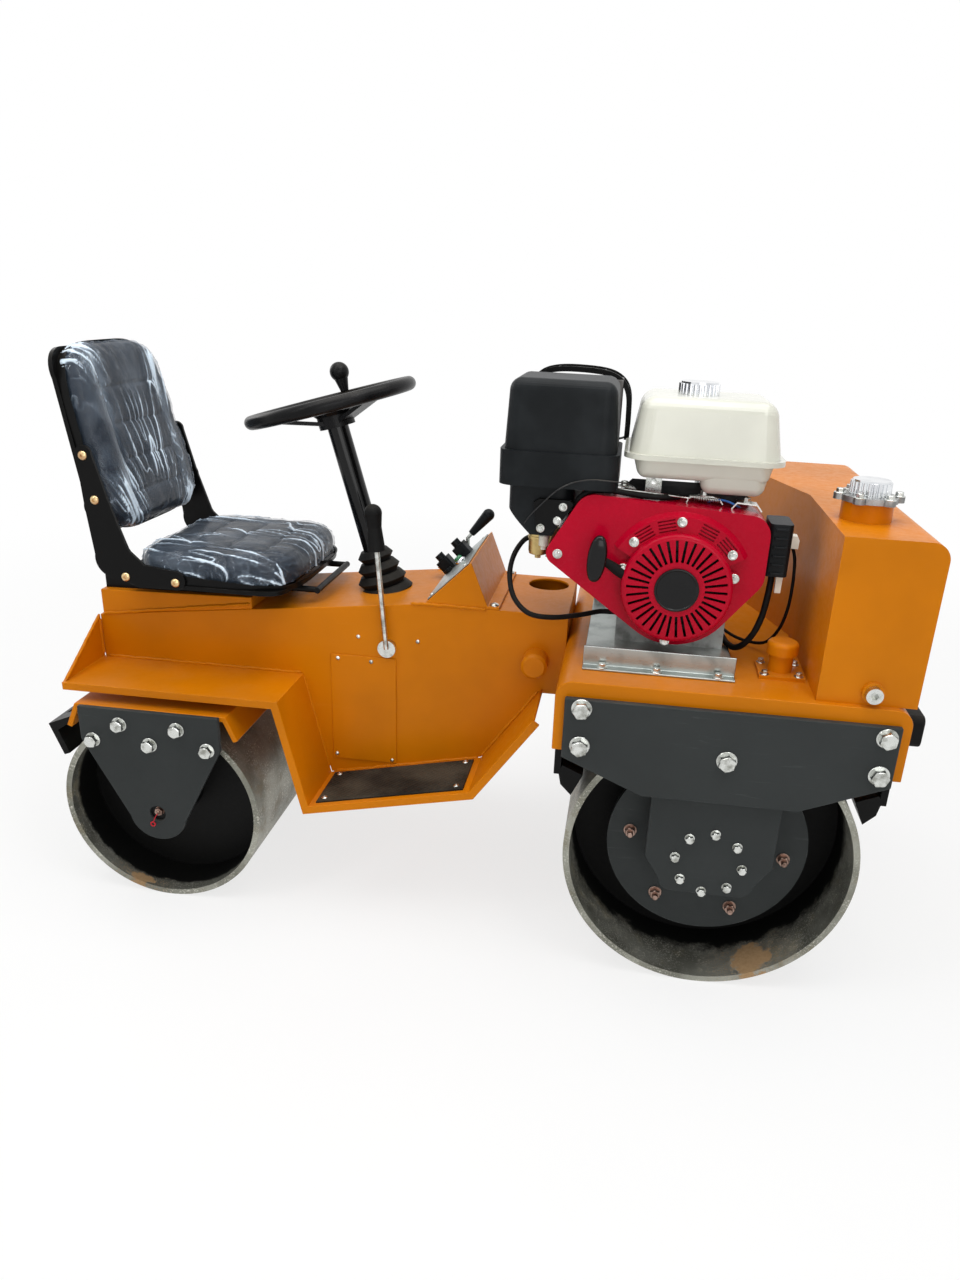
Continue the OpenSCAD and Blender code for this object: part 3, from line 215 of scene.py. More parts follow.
def skin(rings: Array) -> Surface:
    """A closed skin over rings of points, each end closed by a fan to the mean of its ring.

    Args:
        rings: Points by ring, place round the ring and coordinate.

    Returns:
        The closed surface.
    """
    rows, columns = rings.shape[:2]
    centres = np.stack([rings[0].mean(0), rings[-1].mean(0)])
    j = np.arange(columns)
    k = (j + 1) % columns
    last = (rows - 1) * columns
    start = np.stack([k, j, np.full(columns, rows * columns)], -1)
    end = np.stack([last + j, last + k, np.full(columns, rows * columns + 1)], -1)
    points = np.concatenate([rings.reshape(-1, 3), centres])
    return Surface(points, grid_quads(rows, columns, True), np.concatenate([start, end]))


def turned(profile: Sequence[tuple[float, float]], sides: int = 32) -> Surface:
    """A turned shape: each profile point (r, h) sweeps the circle (r cos a, r sin a, h).

    Args:
        profile: Radius and height, from the foot round the outside to the top.
        sides: Points round the circle.

    Returns:
        The closed surface about +Z.
    """
    line = np.asarray(profile, float)
    angle = angles(sides)
    circle = np.stack([np.cos(angle), np.sin(angle), np.zeros(sides)], -1)
    rings = line[:, 0, None, None] * circle[None] + line[:, 1, None, None] * Z_AXIS
    return skin(rings)


def hexagon(across: float, height: float, hollow: float = 0.0, sides: int = 36) -> Surface:
    """A chamfered hexagon head: the radius at angle a and height h is the lesser of the flat's
    distance across / 2 / cos(a - nearest flat) and a 30 degree cone that closes towards the top.

    Args:
        across: Distance across the flats.
        height: Height of the head.
        hollow: Depth of the dished top.
        sides: Points round the head.

    Returns:
        The closed surface, standing on z = 0.
    """
    angle = angles(sides)
    wedge = math.pi / 3
    flat = across / 2 / np.cos((angle + wedge / 2) % wedge - wedge / 2)
    h = np.array([0.0, 0.6, 0.78, 0.9, 1.0, 1.0, 1.0]) * height
    cone = across * 0.47 + (height - h) * 1.7
    radius = np.minimum(flat[None, :], cone[:, None])
    radius[-2] *= 0.82
    radius[-1] *= 0.4
    h[-1] -= hollow
    level = np.broadcast_to(h[:, None], radius.shape)
    return skin(np.stack([radius * np.cos(angle), radius * np.sin(angle), level], -1))


def unit(vectors: Array) -> Array:
    """Vectors along the last axis, brought to length 1."""
    return vectors / np.linalg.norm(vectors, axis=-1, keepdims=True)


def bar(path: Array, radius: float | Array, sides: int = 10, up: Array = Z_AXIS) -> Surface:
    """A round bar along a path: centre(i) + radius(i) (u cos a + w sin a), u and w square to the path.

    Args:
        path: Points of the centre line.
        radius: One radius, or one for each point.
        sides: Points round the bar.
        up: A direction that the path never takes.

    Returns:
        The closed surface.
    """
    along = unit(np.gradient(path, axis=0))
    u = unit(np.cross(along, up))
    w = np.cross(along, u)
    angle = angles(sides)[None, :, None]
    reach = np.broadcast_to(radius, len(path))[:, None, None]
    rings = path[:, None] + reach * (u[:, None] * np.cos(angle) + w[:, None] * np.sin(angle))
    return skin(rings)


def hoop(rings: Array) -> Surface:
    """A closed hoop: each ring of points is a section, and the last section joins the first.

    Args:
        rings: Points by section, place round the section and coordinate.

    Returns:
        The closed surface.
    """
    rows, columns = rings.shape[:2]
    return Surface(rings.reshape(-1, 3), grid_quads(rows + 1, columns, True) % (rows * columns))


def strap(path: Array, width: float, thickness: float, across: Array) -> Surface:
    """A flat strap carried along a path: a rectangle with corners at +-width / 2 along one fixed
    direction and +-thickness / 2 square to that direction and the path.

    Args:
        path: Points of the centre line.
        width: The strap's width.
        thickness: Its thickness.
        across: The direction of its width.

    Returns:
        The closed surface.
    """
    along = unit(np.gradient(path, axis=0))
    out = unit(np.cross(along, across))
    corners = np.array([[1, 1], [-1, 1], [-1, -1], [1, -1]]) * [width / 2, thickness / 2]
    rings = path[:, None] + corners[None, :, :1] * across + corners[None, :, 1:] * out[:, None]
    return skin(rings)


def plate(outline: Sequence[tuple[float, float]], origin: Array, axes: Array, thickness: float) -> Surface:
    """A flat plate: an outline in the first two axes, carried along the third.

    Args:
        outline: Corners in order round the plate.
        origin: Where the outline's zero lies.
        axes: The plate's axes as columns.
        thickness: Its thickness along the third axis.

    Returns:
        The closed surface.
    """
    flat = np.asarray(outline, float)
    middle = flat.mean(0)
    inner = middle + (flat - middle) * 0.985
    levels = [(inner, 0.0), (flat, 0.12), (flat, 0.8), (inner, 1.0)]
    rings = [np.column_stack([line, np.full(len(flat), share * thickness)]) for line, share in levels]
    return skin(np.stack(rings)).placed(origin, axes)


def coil(start: Array, end: Array, radius: float, wire: float, turns: int) -> Surface:
    """A wound spring: the wire's centre goes round the line from start to end at an even pitch.

    Args:
        start: Where it starts.
        end: Where it ends.
        radius: Radius of its turns.
        wire: Radius of its wire.
        turns: Number of turns.

    Returns:
        The closed surface.
    """
    axes = axes_along(end - start)
    run = np.linspace(0, 1, turns * 14 + 1)
    angle = run * turns * math.tau
    rise = run * np.linalg.norm(end - start)
    ring = np.stack([radius * np.cos(angle), radius * np.sin(angle), rise], -1)
    return bar(ring @ axes.T + start, wire, 6, axes[:, 2])


def smooth_path(points: Sequence[Sequence[float]], steps: int = 8) -> Array:
    """A smooth line through points, each stretch a Catmull-Rom cubic of its four nearest points.

    Args:
        points: The points to pass through.
        steps: Places on each stretch.

    Returns:
        The points of the line.
    """
    p = np.asarray(points, float)
    padded = np.concatenate([p[:1], p, p[-1:]])
    a, b, c, d = (padded[k : len(p) - 1 + k, None] for k in range(4))
    t = np.linspace(0, 1, steps, endpoint=False)[None, :, None]
    square, cube = 2 * a - 5 * b + 4 * c - d, 3 * b - a - 3 * c + d
    curve = 0.5 * (2 * b + (c - a) * t + square * t**2 + cube * t**3)
    return np.concatenate([curve.reshape(-1, 3), p[-1:]])


def axes_along(direction: Array, spin: float = 0.0) -> Array:
    """Axes whose Z is a direction, turned about it by a spin.

    Args:
        direction: Where +Z goes.
        spin: Turn about that direction, in radians.

    Returns:
        A matrix with the axes as columns.
    """
    z = unit(np.asarray(direction, float))
    spare = X_AXIS if abs(z[0]) < 0.9 else Y_AXIS
    u = unit(np.cross(spare, z))
    w = np.cross(z, u)
    c, s = math.cos(spin), math.sin(spin)
    return np.stack([u * c + w * s, w * c - u * s, z], -1)


def linked(name: str, data: Any) -> bpy.types.Object:
    """A new object of some data, linked to the scene."""
    made = bpy.data.objects.new(name, data)
    bpy.context.scene.collection.objects.link(made)
    return made


def baked(made: bpy.types.Object) -> bpy.types.Mesh:
    """A new mesh of an object with its modifiers applied."""
    return bpy.data.meshes.new_from_object(made.evaluated_get(bpy.context.evaluated_depsgraph_get()))


def piece(
    name: str,
    surface: Surface,
    finish: bpy.types.Material,
    sharp: float,
    body: Body = Body.CHASSIS,
) -> bpy.types.Object:
    """Makes a mesh object of a surface, dresses it and hangs it on its body.

    Args:
        name: The piece's name.
        surface: Its shape, in the machine's frame.
        finish: Its material.
        sharp: Angle in degrees past which an edge stays sharp.
        body: The CAD body that it rides on.

    Returns:
        The new object.
    """
    mesh = bpy.data.meshes.new(name)
    mesh.from_pydata(surface.points.tolist(), [], surface.quads.tolist() + surface.tris.tolist())
    turn = bmesh.new()
    turn.from_mesh(mesh)
    bmesh.ops.recalc_face_normals(turn, faces=turn.faces[:])
    turn.to_mesh(mesh)
    turn.free()
    mesh.shade_smooth()
    mesh.set_sharp_from_angle(angle=math.radians(sharp))
    mesh.materials.append(finish)
    made = linked(name, mesh)
    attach(made, body.value)
    log.info("piece %s: %d points on %s", name, len(surface.points), body.value)
    return made


# Shader graphs


class Graph:
    """A node tree with short calls for the nodes that the finishes use."""

    def __init__(self, tree: bpy.types.NodeTree, shader: bpy.types.Node | None = None) -> None:
        """Keeps the tree that the calls build in, and a material's Principled shader."""
        self.tree = tree
        self.shader = shader

    def node(self, kind: str, **settings: Any) -> bpy.types.Node:
        """Adds a node.

        Args:
            kind: Blender's name of the node's type.
            settings: Properties to set on it.

        Returns:
            The node.
        """
        made = self.tree.nodes.new(kind)
        for key, value in settings.items():
            setattr(made, key, value)
        return made

    def feed(self, socket: bpy.types.NodeSocket, value: Any) -> None:
        """Links a socket to an output, or sets it to a plain value."""
        if isinstance(value, bpy.types.NodeSocket):
            self.tree.links.new(value, socket)
        else:
            socket.default_value = value

    def set(self, socket: str, value: Any) -> None:
        """Links or sets one of the Principled shader's own sockets."""
        self.feed(self.shader.inputs[socket], value)

    def math(self, operation: str, *values: Any, clamp: bool = False) -> bpy.types.NodeSocket:
        """One Math node over its values."""
        made = self.node("ShaderNodeMath", operation=operation, use_clamp=clamp)
        for socket, value in zip(made.inputs, values):
            self.feed(socket, value)
        return made.outputs[0]

    def times(self, first: Any, second: Any, clamp: bool = False) -> bpy.types.NodeSocket:
        """The product of two values."""
        return self.math("MULTIPLY", first, second, clamp=clamp)

    def plus(self, first: Any, second: Any, clamp: bool = False) -> bpy.types.NodeSocket:
        """The sum of two values."""
        return self.math("ADD", first, second, clamp=clamp)

    def minus(self, first: Any, second: Any) -> bpy.types.NodeSocket:
        """The first value less the second."""
        return self.math("SUBTRACT", first, second)

    def most(self, first: Any, second: Any) -> bpy.types.NodeSocket:
        """The greater of two values."""
        return self.math("MAXIMUM", first, second)

    def blend(self, factor: Any, low: Any, high: Any) -> bpy.types.NodeSocket:
        """A number that goes from low to high with the factor."""
        made = self.node("ShaderNodeMix", data_type="FLOAT")
        for index, value in ((0, factor), (2, low), (3, high)):
            self.feed(made.inputs[index], value)
        return made.outputs[0]

    def tint(self, factor: Any, low: Any, high: Any) -> bpy.types.NodeSocket:
        """A colour that goes from low to high with the factor."""
        made = self.node("ShaderNodeMix", data_type="RGBA")
        for index, value in ((0, factor), (6, low), (7, high)):
            self.feed(made.inputs[index], value)
        return made.outputs[2]

    def noise(self, where: Any, scale: Any, detail: float, rough: float, warp: float = 0.0) -> Any:
        """The value of a noise texture.

        Args:
            where: The vector that it reads.
            scale: Its scale.
            detail: Its octaves.
            rough: How strong its fine octaves are.
            warp: Its distortion.

        Returns:
            The value's socket.
        """
        made = self.node("ShaderNodeTexNoise")
        made.inputs["Detail"].default_value = detail
        made.inputs["Roughness"].default_value = rough
        made.inputs["Distortion"].default_value = warp
        self.feed(made.inputs["Vector"], where)
        self.feed(made.inputs["Scale"], scale)
        return made.outputs[0]

    def cells(self, where: Any, scale: Any, feature: str = "F1") -> Any:
        """The distance of a cell texture."""
        made = self.node("ShaderNodeTexVoronoi", feature=feature)
        self.feed(made.inputs["Vector"], where)
        self.feed(made.inputs["Scale"], scale)
        return made.outputs["Distance"]

    def ramp(self, value: Any, low: Any, high: Any, start: float = 0.0, end: float = 1.0) -> Any:
        """A value brought from low and high to start and end, smoothly and within them."""
        made = self.node("ShaderNodeMapRange", interpolation_type="SMOOTHSTEP")
        for index, given in enumerate((value, low, high, start, end)):
            self.feed(made.inputs[index], given)
        return made.outputs[0]

    def stretched(self, where: Any, scale: Point) -> Any:
        """A vector scaled by a Mapping node."""
        made = self.node("ShaderNodeMapping")
        made.inputs["Scale"].default_value = scale
        self.feed(made.inputs["Vector"], where)
        return made.outputs[0]

    def bump(self, height: Any, depth: float, strength: float) -> Any:
        """A normal pushed by a height of that depth in metres."""
        made = self.node("ShaderNodeBump")
        made.inputs["Strength"].default_value = strength
        made.inputs["Distance"].default_value = depth
        self.feed(made.inputs["Height"], height)
        return made.outputs[0]

    def place(self) -> Any:
        """Object coordinates."""
        return self.node("ShaderNodeTexCoord").outputs["Object"]

    def use(self, group: bpy.types.NodeTree, **values: Any) -> Any:
        """Places a node group.

        Args:
            group: The group.
            values: What its inputs get, by name.

        Returns:
            The group node's outputs.
        """
        made = self.node("ShaderNodeGroup", node_tree=group)
        for key, value in values.items():
            self.feed(made.inputs[key], value)
        return made.outputs


def surface_graph(name: str) -> tuple[bpy.types.Material, Graph]:
    """A fresh material and its graph, which holds the Principled shader.

    Args:
        name: The material's name.

    Returns:
        The material and its graph.
    """
    made = bpy.data.materials.new(name)
    made.use_nodes = True
    return made, Graph(made.node_tree, made.node_tree.nodes["Principled BSDF"])


class Effects:
    """The node groups that several finishes share, each built once."""

    def __init__(self) -> None:
        """Builds all the groups."""
        self.mottle = self._group("mottle", self._mottle, ("Broad", "Fine"), Scale=9.0)
        self.dust = self._group("settled_dust", self._dust, ("Mask",), Amount=0.3)
        self.wear = self._group("edge_wear", self._wear, ("Mask",), Radius=0.003, Amount=0.5)
        self.grain = self._group("moulded_grain", self._grain, ("Height",), Scale=900.0)
        self.scuffs = self._group("scuffs", self._scuffs, ("Mask",), Scale=30.0, Amount=0.3)

    def _group(
        self, name: str, fill: Filler, outputs: Sequence[str], **inputs: float
    ) -> bpy.types.NodeTree:
        """Builds one group.

        Args:
            name: Its name.
            fill: What builds its inside and gives its results.
            outputs: The names of its results, all numbers.
            inputs: Its inputs after the vector, with their values.

        Returns:
            The node group.
        """
        tree = bpy.data.node_groups.new(name, "ShaderNodeTree")
        tree.interface.new_socket("Vector", in_out="INPUT", socket_type="NodeSocketVector")
        for key, value in inputs.items():
            socket = tree.interface.new_socket(key, in_out="INPUT", socket_type="NodeSocketFloat")
            socket.default_value = value
        for key in outputs:
            tree.interface.new_socket(key, in_out="OUTPUT", socket_type="NodeSocketFloat")
        graph = Graph(tree)
        given = graph.node("NodeGroupInput").outputs
        result = graph.node("NodeGroupOutput")
        for socket, value in zip(result.inputs, fill(graph, given)):
            graph.feed(socket, value)
        return tree

    @staticmethod
    def _mottle(graph: Graph, given: Any) -> Sequence[Any]:
        """Broad and fine cloudiness of a surface."""
        broad = graph.noise(given["Vector"], given["Scale"], 3.0, 0.5)
        fine = graph.noise(given["Vector"], graph.times(given["Scale"], 14.0), 4.0, 0.65)
        return broad, fine

    @staticmethod
    def _dust(graph: Graph, given: Any) -> Sequence[Any]:
        """Dust lies where a face looks up, broken into clouds and specks."""
        facing = graph.node("ShaderNodeSeparateXYZ")
        graph.feed(facing.inputs[0], graph.node("ShaderNodeNewGeometry").outputs["Normal"])
        upward = graph.ramp(facing.outputs[2], 0.25, 0.95)
        cloud = graph.ramp(graph.noise(given["Vector"], 7.0, 5.0, 0.62), 0.36, 0.74)
        speck = graph.ramp(graph.noise(given["Vector"], 420.0, 2.0, 0.7), 0.56, 0.72)
        both = graph.plus(graph.times(cloud, 0.7), graph.times(speck, 0.4))
        return (graph.times(graph.times(both, upward), given["Amount"], clamp=True),)

    @staticmethod
    def _wear(graph: Graph, given: Any) -> Sequence[Any]:
        """Wear shows where a rounded normal leaves the true one, which is along edges, broken by noise."""
        rounded = graph.node("ShaderNodeBevel", samples=4)
        graph.feed(rounded.inputs["Radius"], given["Radius"])
        turn = graph.node("ShaderNodeVectorMath", operation="DOT_PRODUCT")
        graph.feed(turn.inputs[0], rounded.outputs[0])
        graph.feed(turn.inputs[1], graph.node("ShaderNodeNewGeometry").outputs["Normal"])
        edge = graph.ramp(graph.minus(1.0, turn.outputs["Value"]), 0.015, 0.16)
        patchy = graph.ramp(graph.noise(given["Vector"], 46.0, 5.0, 0.7), 0.44, 0.66)
        return (graph.times(graph.times(edge, patchy), given["Amount"], clamp=True),)

    @staticmethod
    def _grain(graph: Graph, given: Any) -> Sequence[Any]:
        """Fine pebbles: cell distances with a little noise."""
        cell = graph.cells(given["Vector"], given["Scale"])
        rough = graph.noise(given["Vector"], graph.times(given["Scale"], 0.6), 3.0, 0.6)
        return (graph.plus(cell, rough),)

    @staticmethod
    def _scuffs(graph: Graph, given: Any) -> Sequence[Any]:
        """Rubbed streaks: noise drawn out along X, cut to thin bands and kept to a few places."""
        drawn = graph.stretched(given["Vector"], (0.35, 1.0, 5.0))
        streak = graph.ramp(graph.noise(drawn, given["Scale"], 6.0, 0.7, 0.6), 0.58, 0.72)
        place = graph.ramp(graph.noise(given["Vector"], 6.0, 2.0, 0.5), 0.45, 0.7)
        return (graph.times(graph.times(streak, place), given["Amount"], clamp=True),)


DUST_COLOUR = srgb(176, 160, 132)
WHITE = (1.0, 1.0, 1.0, 1.0)


@dataclass(frozen=True)
class Paint:
    """An enamelled sheet or casting, with cloudy colour, worn edges, rubbed streaks and dust.

    Attributes:
        name: The material's name.
        colour: The paint's colour.
        roughness: Its roughness.
        coat: Weight of the clear gloss.
        peel: Depth of the paint's ripple, in metres.
        worn: Colour that shows along edges.
        wear: How much of the edges is worn.
        dust: How much dust lies on top.
        scuff: How strong the rubbed streaks are.
        specular: Strength of its plain gloss.
    """

    name: str
    colour: Colour
    roughness: float = 0.34
    coat: float = 0.02
    peel: float = 0.00012
    worn: Colour = srgb(222, 150, 60)
    wear: float = 0.4
    dust: float = 0.08
    scuff: float = 0.12
    specular: float = 0.1

    def build(self, effects: Effects) -> bpy.types.Material:
        """Builds the material with the shared effects."""
        made, graph = surface_graph(self.name)
        place = graph.place()
        broad, fine = graph.use(effects.mottle, Vector=place, Scale=6.0)
        deep = shaded(self.colour, 0.86)
        colour = graph.tint(graph.ramp(broad, 0.3, 0.7), deep, self.colour)
        edges = graph.use(effects.wear, Vector=place, Radius=0.0035, Amount=self.wear)[0]
        colour = graph.tint(edges, colour, self.worn)
        rubbed = graph.use(effects.scuffs, Vector=place, Scale=24.0, Amount=self.scuff)[0]
        colour = graph.tint(rubbed, colour, self.worn)
        settled = graph.use(effects.dust, Vector=place, Amount=self.dust)[0]
        colour = graph.tint(settled, colour, DUST_COLOUR)
        graph.set("Base Color", colour)
        rough = graph.blend(graph.ramp(fine, 0.3, 0.75), self.roughness * 0.85, self.roughness * 1.25)
        dulled = graph.plus(graph.times(settled, 0.5), graph.times(rubbed, 0.3))
        graph.set("Roughness", graph.plus(rough, dulled, clamp=True))
        graph.set("Specular IOR Level", self.specular)
        graph.set("Coat Weight", self.coat)
        graph.set("Coat Roughness", 0.12)
        ripple = graph.noise(place, 260.0, 3.0, 0.5)
        graph.set("Normal", graph.bump(ripple, self.peel, 0.6))
        return made


@dataclass(frozen=True)
class Moulding:
    """Rubber or moulded plastic with a fine pebbled grain.

    Attributes:
        name: The material's name.
        colour: Its colour.
        roughness: Its roughness.
        grain: Grains per metre.
        depth: Depth of the grain, in metres.
        dust: How much dust lies on it.
    """

    name: str
    colour: Colour
    roughness: float = 0.5
    grain: float = 900.0
    depth: float = 0.0001
    dust: float = 0.15

    def build(self, effects: Effects) -> bpy.types.Material:
        """Builds the material with the shared effects."""
        made, graph = surface_graph(self.name)
        place = graph.place()
        broad, fine = graph.use(effects.mottle, Vector=place, Scale=14.0)
        light = shaded(self.colour, 1.6, 0.004)
        colour = graph.tint(graph.ramp(broad, 0.35, 0.75), self.colour, light)
        settled = graph.use(effects.dust, Vector=place, Amount=self.dust)[0]
        graph.set("Base Color", graph.tint(settled, colour, DUST_COLOUR))
        rough = graph.blend(fine, self.roughness * 0.8, self.roughness * 1.2)
        graph.set("Roughness", graph.plus(rough, graph.times(settled, 0.4), clamp=True))
        pebbles = graph.use(effects.grain, Vector=place, Scale=self.grain)[0]
        graph.set("Normal", graph.bump(pebbles, self.depth, 0.5))
        graph.set("Specular IOR Level", 0.12)
        return made


@dataclass(frozen=True)
class Metal:
    """Plated, cast or bare metal, with cloudy tarnish and fine rubbing.

    Attributes:
        name: The material's name.
        colour: The clean metal's colour.
        tarnish: The colour that it clouds to.
        roughness: Its roughness.
        cast: Depth of its cast grain, in metres.
        clouds: Clouds per metre.
    """

    name: str
    colour: Colour
    tarnish: Colour
    roughness: float = 0.3
    cast: float = 0.00003
    clouds: float = 40.0

    def build(self, effects: Effects) -> bpy.types.Material:
        """Builds the material with the shared effects."""
        made, graph = surface_graph(self.name)
        place = graph.place()
        broad, fine = graph.use(effects.mottle, Vector=place, Scale=self.clouds)
        rubbed = graph.use(effects.scuffs, Vector=place, Scale=80.0, Amount=0.5)[0]
        colour = graph.tint(graph.ramp(broad, 0.4, 0.72), self.colour, self.tarnish)
        graph.set("Base Color", colour)
        graph.set("Metallic", 1.0)
        rough = graph.blend(graph.ramp(fine, 0.3, 0.8), self.roughness * 0.75, self.roughness * 1.35)
        graph.set("Roughness", graph.plus(rough, graph.times(rubbed, 0.2), clamp=True))
        pebbles = graph.use(effects.grain, Vector=place, Scale=700.0)[0]
        graph.set("Normal", graph.bump(pebbles, self.cast, 0.5))
        return made


@dataclass(frozen=True)
class DrumFinish:
    """A drum's rolled steel: worn bright and dirty outside and on the rims, painted dark within.

    Attributes:
        name: The material's name.
        axle: A point of the drum's axis.
        radius: The drum's outer radius.
        half: Half of its width.
        band: Width of the rubbed band inside each rim, in metres.
        patch: Angle of the caked soil from straight down, in radians.
    """

    name: str
    axle: Point
    radius: float
    half: float
    band: float
    patch: float

    def build(self, effects: Effects) -> bpy.types.Material:
        """Builds the material from the distance to the axis and to the rims, with the shared effects."""
        made, graph = surface_graph(self.name)
        place = graph.place()
        split = graph.node("ShaderNodeSeparateXYZ")
        graph.feed(split.inputs[0], place)
        x = graph.minus(split.outputs[0], self.axle[0])
        z = graph.minus(split.outputs[2], self.axle[2])
        radius = graph.math("SQRT", graph.plus(graph.times(x, x), graph.times(z, z)))
        inset = graph.minus(self.half, graph.math("ABSOLUTE", split.outputs[1]))
        broad, fine = graph.use(effects.mottle, Vector=place, Scale=11.0)
        ragged = graph.times(graph.minus(graph.noise(place, 26.0, 6.0, 0.72), 0.5), self.band * 0.9)
        outside = graph.ramp(radius, self.radius - 0.009, self.radius - 0.006)
        rubbed = graph.minus(1.0, graph.ramp(graph.plus(inset, ragged), self.band * 0.55, self.band))
        wall = graph.ramp(radius, self.radius - 0.02, self.radius - 0.012)
        bare = graph.most(outside, graph.times(rubbed, wall))
        steel = graph.tint(graph.ramp(broad, 0.3, 0.7), srgb(116, 116, 106), srgb(160, 160, 150))
        speck = graph.ramp(graph.noise(place, 300.0, 3.0, 0.75), 0.54, 0.62)
        crowd = graph.ramp(graph.noise(place, 14.0, 5.0, 0.65), 0.38, 0.62, 0.12, 0.85)
        steel = graph.tint(graph.times(speck, crowd), steel, srgb(222, 220, 208))
        soil = graph.ramp(graph.noise(place, 17.0, 7.0, 0.7), 0.5, 0.68)
        steel = graph.tint(graph.times(soil, 0.6), steel, srgb(112, 102, 76))
        dark = graph.tint(fine, srgb(6, 6, 6), srgb(15, 15, 14))
        colour = graph.tint(bare, dark, steel)
        angle = graph.math("ARCTAN2", x, graph.times(z, -1.0))
        beside = graph.math("ABSOLUTE", graph.minus(angle, self.patch))
        across = graph.math("DIVIDE", beside, 0.15)
        deeper = graph.math("ABSOLUTE", graph.minus(inset, self.band * 0.36))
        depth = graph.math("DIVIDE", deeper, self.band * 0.44)
        spread = graph.plus(graph.times(across, across), graph.times(depth, depth))
        edge = graph.plus(spread, graph.times(graph.minus(graph.noise(place, 36.0, 5.0, 0.7), 0.5), 3.2))
        caked = graph.times(graph.minus(1.0, graph.ramp(edge, 0.75, 1.05)), wall)
        sandy = graph.times(graph.minus(1.0, graph.ramp(spread, 0.5, 9.0)), speck)
        sandy = graph.times(sandy, bare)
        cake = graph.most(caked, graph.times(sandy, 0.75))
        colour = graph.tint(cake, colour, graph.tint(fine, srgb(140, 108, 74), srgb(186, 156, 118)))
        graph.set("Base Color", colour)
        clean = graph.times(bare, graph.minus(1.0, graph.most(soil, cake)))
        graph.set("Metallic", graph.times(clean, 0.75))
        rough = graph.blend(bare, 0.55, graph.blend(fine, 0.3, 0.62))
        graph.set("Roughness", graph.plus(rough, graph.times(cake, 0.4), clamp=True))
        lumps = graph.plus(graph.noise(place, 190.0, 5.0, 0.7), graph.times(cake, 1.6))
        graph.set("Normal", graph.bump(lumps, 0.0007, 0.5))
        graph.set("Specular IOR Level", 0.15)
        return made


@dataclass(frozen=True)
class Vinyl:
    """Black seat vinyl with a leather-like grain.

    Attributes:
        name: The material's name.
        colour: Its colour.
    """

    name: str
    colour: Colour

    def build(self, effects: Effects) -> bpy.types.Material:
        """Builds the material with the shared effects."""
        made, graph = surface_graph(self.name)
        place = graph.place()
        broad, fine = graph.use(effects.mottle, Vector=place, Scale=16.0)
        light = shaded(self.colour, 1.9)
        graph.set("Base Color", graph.tint(graph.ramp(broad, 0.3, 0.8), self.colour, light))
        graph.set("Roughness", graph.blend(fine, 0.32, 0.5))
        creases = graph.cells(place, 420.0, "DISTANCE_TO_EDGE")
        graph.set("Normal", graph.bump(graph.ramp(creases, 0.0, 0.28), 0.00025, 0.6))
        graph.set("Specular IOR Level", 0.2)
        return made


@dataclass(frozen=True)
class Film:
    """Clear wrapping film: thin, glossy and milky along its creases, with painted highlights and a painted
    sheen that lighten its colour and opacity.

    Attributes:
        name: The material's name.
        clear: Colour of the smooth film.
        milky_and_highlight: Colour along a crease, milky film and painted highlight in one.
    """

    name: str
    clear: Colour
    milky_and_highlight: Colour

    def build(self, effects: Effects) -> bpy.types.Material:
        """Builds the material from the piece's own attribute of creases and painted sheen, drawn as milky
        film and painted highlights.
        """
        made, graph = surface_graph(self.name)
        crease = graph.node("ShaderNodeAttribute", attribute_name="crease").outputs["Fac"]
        place = graph.place()
        broad, fine = graph.use(effects.mottle, Vector=place, Scale=13.0)
        haze = graph.times(graph.ramp(broad, 0.42, 0.68), 0.16)
        # Painted highlights and painted sheen: the crease lines and the broad crease value turn the film
        # bluish white and more opaque, standing in for reflections of the lamps, with some milky whitening
        # of the creases.
        crease_milk_and_highlight = graph.times(graph.ramp(crease, 0.42, 0.85), 0.5)
        painted_sheen = graph.times(graph.ramp(crease, 0.04, 0.8), 0.6)
        milk_and_highlight = graph.plus(graph.plus(crease_milk_and_highlight, painted_sheen), haze, clamp=True)
        graph.set("Base Color", graph.tint(milk_and_highlight, self.clear, self.milky_and_highlight))
        graph.set("Alpha", graph.blend(milk_and_highlight, 0.18, 0.92))
        waves = graph.math("ABSOLUTE", graph.minus(graph.noise(place, 42.0, 3.0, 0.5), 0.5))
        graph.set("Normal", graph.bump(waves, 0.006, 0.7))
        graph.set("Roughness", graph.blend(fine, 0.07, 0.16))
        graph.set("Specular IOR Level", 0.35)
        graph.set("Coat Weight", 0.4)
        graph.set("Coat Roughness", 0.03)
        return made


@dataclass(frozen=True)
class Lens:
    """A coloured lamp lens.

    Attributes:
        name: The material's name.
        colour: Its colour.
    """

    name: str
    colour: Colour

    def build(self, effects: Effects) -> bpy.types.Material:
        """Builds the material, clouded from dark to light."""
        made, graph = surface_graph(self.name)
        broad, fine = graph.use(effects.mottle, Vector=graph.place(), Scale=200.0)
        deep = shaded(self.colour, 0.5)
        graph.set("Base Color", graph.tint(broad, deep, self.colour))
        graph.set("Roughness", graph.blend(fine, 0.08, 0.2))
        graph.set("Coat Weight", 0.6)
        return made


